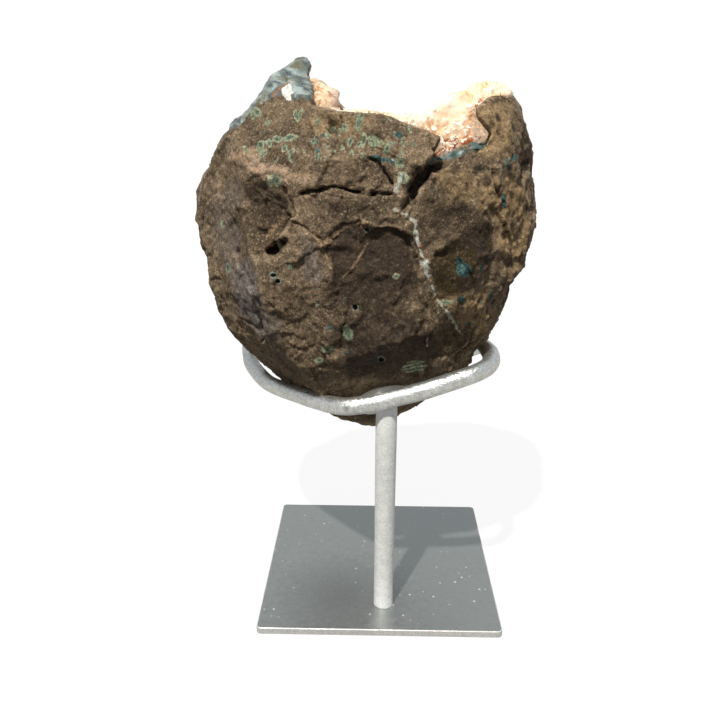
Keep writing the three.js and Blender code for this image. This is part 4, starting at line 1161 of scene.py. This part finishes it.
def coat(shape, forms, outline, nearest, farthest, depth, reach, size, spacing):
    """Adds overlapping lumps over an outline seen from EYE, laid on the forms behind it."""
    eye = Vector(EYE)
    xs, zs = [p[0] for p in outline], [p[1] for p in outline]
    columns = np.arange(min(xs), max(xs), spacing)
    rows = np.arange(min(zs), max(zs), spacing)
    grid = np.array([(x, z) for x in columns for z in rows])
    grid += np.array([[random.uniform(-0.35, 0.35) * spacing for _ in (0, 1)] for _ in grid])
    for x, z in grid[inside(grid[:, 0], grid[:, 1], outline)]:
        way = (Vector((x, PLANE_Y, z)) - eye).normalized()
        hits = [form.ray_cast(eye * MM, way)[0] for form in forms]
        hits = [hit / MM for hit in hits if hit and hit.y / MM < farthest]
        if hits:
            spot = min(hits, key=lambda hit: (hit - eye).length)
        else:
            spot = eye + way * ((depth - eye.y) / way.y)
        limit = reach if spot.z > COAT_TOP else COAT_REACH
        if spot.y < nearest or beyond_hollow(np.array([spot]))[0] > limit:
            continue
        add_lump(shape, spot, way, x, z, size)


class Planter:
    """Adds copies of one blade to a mesh and keeps what each vertex needs to know."""

    def __init__(self, shape):
        blade = blade_mesh()
        self.shape = shape
        self.pattern = np.array([v.co[:] for v in blade.verts])
        self.corners = [[v.index for v in f.verts] for f in blade.faces]
        self.tips = []
        self.stains = []
        blade.free()

    def plant(self, root, way, turn, size, stain):
        """One blade from its root along its way; size is its width, thickness and length in mm."""
        frame_of_blade = way.to_track_quat("Z", "Y").to_matrix() @ Matrix.Rotation(turn, 3, "Z")
        places = (self.pattern * size) @ np.array(frame_of_blade).T + np.array(root)
        x, z = on_front_plane(places)
        if (z > height_of(CRYSTAL_SKYLINE, x)).any() or places[:, 2].max() > CRYSTAL_TOP:
            return
        verts = [self.shape.verts.new(place) for place in places * MM]
        for corner in self.corners:
            self.shape.faces.new([verts[i] for i in corner])
        self.tips.append(self.pattern[:, 2])
        self.stains.append(np.full(len(verts), stain))


def grow_sheaves(planter, faces, count):
    """Sheaves on the inner wall: blades that open from one root like the pages of a book."""
    for _ in range(count):
        face = random.choice(faces)
        root = face.calc_center_median() / MM
        wander = Vector([random.gauss(0, 0.35) for _ in range(3)])
        way = (face.normal + wander).normalized()
        spread_axis = way.orthogonal().normalized()
        spread_axis.rotate(Matrix.Rotation(random.uniform(0, math.pi), 3, way))
        long = random.choice((random.uniform(3, 5.5), random.uniform(5.5, 10)))
        wide = long * random.uniform(0.4, 0.62)
        pages = random.randint(3, 6)
        # About one sheaf in twelve is stained by rust.
        stain = 0.35 if random.random() < 0.08 else 0.0
        for page in range(pages):
            opening = math.radians(11) * (page - (pages - 1) / 2) + random.gauss(0, 0.04)
            leaf = way.copy()
            leaf.rotate(Matrix.Rotation(opening, 3, spread_axis))
            across = leaf.to_track_quat("Z", "Y").to_matrix() @ Vector((1, 0, 0))
            turn = across.angle(spread_axis)
            if leaf.cross(across).dot(spread_axis) < 0:
                turn = -turn
            size = (wide, long * random.uniform(0.07, 0.11), long * random.uniform(0.85, 1.05))
            planter.plant(root - way * 1.2, leaf, turn, size, stain)


def grow_chips(planter, faces, count):
    """Small crystals that lie every way on the broken edge of the crust."""
    for _ in range(count):
        face = random.choice(faces)
        root = face.calc_center_median() / MM
        way = (face.normal + Vector([random.gauss(0, 0.7) for _ in range(3)])).normalized()
        long = random.uniform(1.3, 3.0)
        size = (long * random.uniform(0.4, 0.8), long * random.uniform(0.15, 0.3), long)
        planter.plant(root - way * 0.6, way, random.uniform(0, math.pi), size, 0.0)


def crust_faces(shape):
    """The crust's faces on the inner wall, on the broken edge that EYE sees, and on top of the rim."""
    shape.normal_update()
    shape.faces.ensure_lookup_table()
    middles = np.array([f.calc_center_median()[:] for f in shape.faces]) / MM
    normals = np.array([f.normal[:] for f in shape.faces])
    rise = middles[:, 2] - HOLLOW_MIDDLE[2]
    inward = np.stack([HOLLOW_MIDDLE[0] + HOLLOW_LEAN * rise - middles[:, 0],
                       HOLLOW_MIDDLE[1] - middles[:, 1], -0.6 * rise], axis=1)
    inward /= np.linalg.norm(inward, axis=1)[:, None]
    inner = np.einsum("ij,ij->i", inward, normals) > 0.25
    seen = facing_eye(middles, normals) > 0.1
    x, z = on_front_plane(middles)
    edge = seen & (middles[:, 1] < 14) & inside(x, z, GAP_COAT[0]) & (z < 199)
    rim = (normals[:, 2] > 0.5) & (middles[:, 2] > 150) & (beyond_hollow(middles) > -5)
    return [[shape.faces[i] for i in np.flatnonzero(kind)] for kind in (inner, edge, rim)]


def crust_colours(piece, places, stains):
    """Writes where the crystals are bruised white and glow, elsewhere in painted shade, and where they
    are stained by rust, blue-grey, peach or dull.
    """
    x, z = on_front_plane(places)
    shown = ramp(-places[:, 1], -14, -4)
    gap = over(places, GAP_COAT[0], 4.0) * ramp(-places[:, 1], -26, -14)
    behind_rim = 0.6 * ramp(-places[:, 1], 2, 9) * ramp(places[:, 2], 180, 192)
    horn = 0.8 * over(places, HORN_COAT[0], 1.5) * ramp(x, 34, 38)
    # Where the crystals are bruised white and get the painted glow; the rest of the crust gets painted
    # shade.
    bruised_and_glowing = most((gap, behind_rim, horn))
    spire = over(places, SPIRE_COAT[0], 1.5) * shown
    write_values(piece, "bruised_and_glowing", np.maximum(bruised_and_glowing, 0.8 * spire))
    rust = most(strength * near_line(x, z, line, half) for line, half, strength in RUST_LINES)
    stray = 0.5 * ramp(lumps(places, 7, 95), 0.55, 0.9) * (1 - bruised_and_glowing)
    write_values(piece, "rust", np.maximum(rust * shown, stray) + stains)
    write_values(piece, "skin", near_line(x, z, TEAL_LINE, 0.9) * shown * 0.8)
    warm = 0.42 * over(places, GAP_COAT[0], 2.0) * ramp(z, 196, 202)
    warm *= ramp(lumps(places, 6, 96), -0.3, 0.4)
    write_values(piece, "warm", np.maximum(0.75 * spire * ramp(-x, 18, 25), warm))
    write_values(piece, "dusky", 0.8 * spire * ramp(x, -24, -19.5))


class SPECIMEN_OT_crust(bpy.types.Operator):
    """Builds the crystal crust that lines the hollow"""

    bl_idname = "specimen.crust"
    bl_label = "Stilbite crust"

    def execute(self, context):
        settings = context.scene.specimen_crust
        random.seed(settings.seed)
        shape = merged_copy("stilbite_crust")
        stone = merged_copy("basalt_matrix")
        forms = [BVHTree.FromBMesh(shape), BVHTree.FromBMesh(stone)]
        stone.free()
        # The coats are laid while the mesh is coarse, and melt into it when the faces are evened.
        coat(shape, forms, *GAP_COAT, size=1.5, spacing=1.5)
        coat(shape, forms, *SPIRE_COAT, size=1.5, spacing=1.4)
        cap(shape, forms[1], *HORN_COAT, size=1.9, spacing=1.5)
        shape = even_faces(shape, settings.face_size)
        places, normals = places_of(shape)
        rough = 0.4 * lumps(places, 6, 91) + 0.7 * np.abs(lumps(places, 3.2, 92))
        rough += 0.3 * lumps(places, 1.5, 93)
        rough += 0.6 * facets(places, 4.2, 400)
        inner = ramp(-beyond_hollow(places), 0.8, 2.5)
        put_places(shape, places + normals * (rough * (0.3 + 0.7 * inner))[:, None])
        lining = np.zeros(len(shape.verts))
        planter = Planter(shape)
        wall, edge, rim = crust_faces(shape)
        on_edge = settings.chips // 3
        grow_sheaves(planter, wall, settings.blades)
        grow_chips(planter, edge, on_edge)
        grow_chips(planter, rim, settings.chips - on_edge)
        places, _ = places_of(shape)
        piece = finished("crystal_crust", shape, stilbite(settings), "stilbite_crust",
                         smooth=False)
        write_values(piece, "tip", 0.6 * np.concatenate([lining] + planter.tips))
        crust_colours(piece, places, np.concatenate([lining] + planter.stains))
        return {"FINISHED"}


# ---- the stand -------------------------------------------------------------------
def smooth_path(points, steps):
    """A closed centripetal Catmull-Rom curve through the points."""
    made = []
    count = len(points)
    for i in range(count):
        p = [Vector(points[(i + k - 1) % count]) for k in range(4)]
        t = [0.0]
        for k in range(3):
            t.append(t[-1] + math.sqrt((p[k + 1] - p[k]).length))
        for step in range(steps):
            now = t[1] + (t[2] - t[1]) * step / steps
            a = [p[k].lerp(p[k + 1], (now - t[k]) / (t[k + 1] - t[k])) for k in range(3)]
            b = [a[k].lerp(a[k + 1], (now - t[k]) / (t[k + 2] - t[k])) for k in range(2)]
            made.append(b[0].lerp(b[1], (now - t[1]) / (t[2] - t[1])))
    return made


def bar_along(path, radius):
    """A bmesh of a round bar along a closed path in mm."""
    curve = bpy.data.curves.new("bar", "CURVE")
    curve.dimensions = "3D"
    curve.bevel_depth = radius * MM
    curve.bevel_resolution = 6
    line = curve.splines.new("POLY")
    line.points.add(len(path) - 1)
    for point, place in zip(line.points, path):
        point.co = (*(place * MM), 1)
    line.use_cyclic_u = True
    block = bpy.data.objects.new("bar", curve)
    bpy.context.scene.collection.objects.link(block)
    bar = bmesh.new()
    bar.from_mesh(block.to_mesh())
    bpy.data.objects.remove(block)
    return bar


class SPECIMEN_OT_ring(bpy.types.Operator):
    """Builds the bent ring with its weld beads"""

    bl_idname = "specimen.ring"
    bl_label = "Support ring"

    def execute(self, context):
        settings = context.scene.specimen_stand
        shape = bar_along(smooth_path(RING_PATH, 7), settings.bar / 2)
        for bead in WELDS:
            bmesh.ops.create_icosphere(shape, subdivisions=3, radius=1, matrix=oval_at(*bead))
        shape = even_faces(shape, RING_FACE_SIZE)
        smooth(shape, shape.verts, 0.5, 6)
        places, normals = places_of(shape)
        uneven = 0.12 * lumps(places, 9, 101) + 0.05 * lumps(places, 2.5, 102)
        # The smoothing has thinned the bar, so it is swollen again by as much.
        swelling = 0.1
        put_places(shape, places + normals * (uneven + swelling)[:, None])
        paint_job = silver_paint(
            "bar_silver_enamel", settings.silver, roughness=0.32, metallic=0.88, texture=1.5,
            flake_tone=0.2, blotch=0.1, dull_marks_and_reflections=RING_MARKS)
        finished("bent_ring", shape, paint_job, "support_ring")
        return {"FINISHED"}


class SPECIMEN_OT_post(bpy.types.Operator):
    """Builds the post, turned about its own line"""

    bl_idname = "specimen.post"
    bl_label = "Post"

    def execute(self, context):
        settings = context.scene.specimen_stand
        radius = settings.post / 2
        middle = 0.01
        # The post thins a little towards its foot.
        outline = [(middle, POST_FOOT), (radius - 0.15, POST_FOOT), (radius - 0.2, POST_FOOT + 0.5),
                   (radius - 0.2, 20), (radius - 0.1, 50), (radius, 75), (radius, POST_TOP - 3),
                   (radius - 0.8, POST_TOP - 1), (middle, POST_TOP)]
        shape = bmesh.new()
        rail = [shape.verts.new(((POST_X + r) * MM, POST_Y * MM, h * MM)) for r, h in outline]
        for low, high in zip(rail, rail[1:]):
            shape.edges.new((low, high))
        bmesh.ops.spin(shape, geom=shape.verts[:] + shape.edges[:], cent=(POST_X * MM, POST_Y * MM, 0),
                       axis=(0, 0, 1), angle=2 * math.pi, steps=48, use_merge=True)
        bmesh.ops.remove_doubles(shape, verts=shape.verts, dist=0.02 * MM)
        bmesh.ops.recalc_face_normals(shape, faces=shape.faces)
        # The post's paint is a lighter copy of the ring's: painted light, for how brightly the post is
        # lit.
        painted_lighter_silver = [1.12 * channel for channel in settings.silver]
        paint_job = silver_paint(
            "post_silver_enamel", painted_lighter_silver, roughness=0.4, metallic=0.12, texture=1.2,
            flake_tone=0.1, blotch=0.08)
        finished("round_post", shape, paint_job, "post")
        return {"FINISHED"}


class SPECIMEN_OT_plate(bpy.types.Operator):
    """Builds the base plate, its corners rounded and its edges broken"""

    bl_idname = "specimen.plate"
    bl_label = "Base plate"

    def execute(self, context):
        settings = context.scene.specimen_stand
        low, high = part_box("base_plate")
        size = high - low
        shape = bmesh.new()
        block = Matrix.Translation((low + high) / 2) @ Matrix.Diagonal((*size, 1))
        bmesh.ops.create_cube(shape, size=1, matrix=block)
        corners = [e for e in shape.edges if abs(e.verts[0].co.z - e.verts[1].co.z) > size.z / 2]
        bmesh.ops.bevel(shape, geom=corners, offset=2.0 * MM, segments=6, profile=0.5,
                        affect="EDGES", material=-1)
        edges = [e for e in shape.edges if abs(e.verts[0].co.z - e.verts[1].co.z) < size.z / 2]
        bmesh.ops.bevel(shape, geom=edges, offset=0.4 * MM, segments=3, profile=0.5,
                        affect="EDGES", material=-1)
        # The plate's darker silver is painted shade.
        paint_job = silver_paint(
            "plate_silver_enamel", settings.plate, roughness=0.34, metallic=0.8, texture=0.15,
            flake_tone=0.05, blotch=0.03, grit_share=0.75, dull_marks_and_reflections=PLATE_DARK_REFLECTION)
        piece = finished("square_plate", shape, paint_job, "base_plate", smooth=False)
        # The sides are ground bright, and the broken edges between them and the top a little more.
        layer = piece.data.attributes.new("ground_edge", "FLOAT", "FACE")
        rims = [0.7 if abs(face.normal.z) < 0.1 else 0.85 * (abs(face.normal.z) < 0.97)
                for face in piece.data.polygons]
        layer.data.foreach_set("value", rims)
        return {"FINISHED"}


# ---- the stage -------------------------------------------------------------------
def room_light(strength):
    """Even pale light from above and less from below, with a white backdrop."""
    world = bpy.data.worlds.new("studio")
    bpy.context.scene.world = world
    world.use_nodes = True
    tree = world.node_tree
    tree.nodes.clear()
    way = add(tree, "ShaderNodeTexCoord", out="Generated")
    height = add(tree, "ShaderNodeSeparateXYZ", {"Vector": way}, out="Z")
    share = add(tree, "ShaderNodeMapRange", {"Value": height, "From Min": -0.12, "From Max": 0.2})
    light = add(tree, "ShaderNodeMix", {
        0: share, 6: (0.19, 0.165, 0.14, 1), 7: (0.94, 0.98, 1.04, 1)}, **MIX_COLOURS)
    room = add(tree, "ShaderNodeBackground", {"Color": light, "Strength": strength})
    # What the paint mirrors: a sunlit pale ground below and a bright sky above.
    mirrored = add(tree, "ShaderNodeMix", {
        0: share, 6: (0.58, 0.57, 0.54, 1), 7: (0.46, 0.49, 0.51, 1)}, **MIX_COLOURS)
    yard = add(tree, "ShaderNodeBackground", {"Color": mirrored, "Strength": 1.0})
    backdrop = add(tree, "ShaderNodeBackground", {"Color": (1, 1, 1, 1), "Strength": 1.05})
    mirror_ray = add(tree, "ShaderNodeLightPath", out="Is Glossy Ray")
    camera_ray = add(tree, "ShaderNodeLightPath", out="Is Camera Ray")
    lit = add(tree, "ShaderNodeMixShader", {0: mirror_ray, 1: room, 2: yard})
    both = add(tree, "ShaderNodeMixShader", {0: camera_ray, 1: lit, 2: backdrop})
    add(tree, "ShaderNodeOutputWorld", {"Surface": both})


class SPECIMEN_OT_stage(bpy.types.Operator):
    """Sets the floor, the lights and the camera"""

    bl_idname = "specimen.stage"
    bl_label = "Stage"

    def execute(self, context):
        settings = context.scene.specimen_stage
        scene = context.scene
        # The floor lies just below the plate, so that their faces don't coincide.
        shape = bmesh.new()
        bmesh.ops.create_grid(shape, x_segments=1, y_segments=1, size=4.0,
                              matrix=Matrix.Translation((0, 0, -0.0002)))
        mesh = bpy.data.meshes.new("floor")
        shape.to_mesh(mesh)
        shape.free()
        mesh.materials.append(pale_floor())
        floor = bpy.data.objects.new("floor", mesh)
        scene.collection.objects.link(floor)
        floor.visible_diffuse = False
        floor.visible_glossy = False

        key = bpy.data.lights.new("key_light", "SUN")
        key.energy = settings.sun
        key.angle = settings.softness
        key.color = (1.0, 0.97, 0.92)
        lamp = bpy.data.objects.new("key_light", key)
        lamp.rotation_mode = "QUATERNION"
        lamp.rotation_quaternion = Vector(KEY_LIGHT_WAY).to_track_quat("-Z", "Y")
        scene.collection.objects.link(lamp)
        room_light(settings.fill)

        lens = bpy.data.cameras.new("camera")
        lens.lens = LENS
        lens.sensor_width = SENSOR
        lens.clip_start = 0.01
        lens.clip_end = 50
        camera = bpy.data.objects.new("camera", lens)
        forward, up = Vector(VIEW_FORWARD), Vector(VIEW_UP)
        side = forward.cross(up).normalized()
        turn = Matrix((side, up, -forward)).transposed().to_4x4()
        camera.matrix_world = Matrix.Translation(Vector(CAMERA_PLACE) * MM) @ turn
        scene.collection.objects.link(camera)
        scene.camera = camera
        scene.view_settings.view_transform = "Standard"
        return {"FINISHED"}


# ---- the add-on ------------------------------------------------------------------
class SPECIMEN_PT_panel(bpy.types.Panel):
    """Lists the specimen's pieces and settings in the sidebar"""

    bl_idname = "SPECIMEN_PT_panel"
    bl_label = "Stilbite specimen"
    bl_space_type = "VIEW_3D"
    bl_region_type = "UI"
    bl_category = "Specimen"

    def draw(self, context):
        column = self.layout.column()
        for kind in OPERATORS:
            column.operator(kind.bl_idname)
        for name in SETTINGS:
            group = getattr(context.scene, name)
            for key in group.__annotations__:
                column.prop(group, key)


OPERATORS = (
    SPECIMEN_OT_plate, SPECIMEN_OT_post, SPECIMEN_OT_ring, SPECIMEN_OT_stone, SPECIMEN_OT_crust,
    SPECIMEN_OT_stage,
)
SETTINGS = {
    "specimen_stone": StoneSettings,
    "specimen_crust": CrustSettings,
    "specimen_stand": StandSettings,
    "specimen_stage": StageSettings,
}


def register():
    """Registers the settings, the operators and the panel."""
    for name, kind in SETTINGS.items():
        bpy.utils.register_class(kind)
        setattr(bpy.types.Scene, name, PointerProperty(type=kind))
    for kind in (*OPERATORS, SPECIMEN_PT_panel):
        bpy.utils.register_class(kind)


def unregister():
    """Takes the panel, the operators and the settings away again."""
    for kind in (SPECIMEN_PT_panel, *reversed(OPERATORS)):
        bpy.utils.unregister_class(kind)
    for name, kind in SETTINGS.items():
        delattr(bpy.types.Scene, name)
        bpy.utils.unregister_class(kind)


def main():
    """Builds every piece and the stage."""
    register()
    bpy.ops.specimen.plate()
    bpy.ops.specimen.post()
    bpy.ops.specimen.ring()
    bpy.ops.specimen.stone()
    bpy.ops.specimen.crust()
    bpy.ops.specimen.stage()


if __name__ == "__main__":
    main()
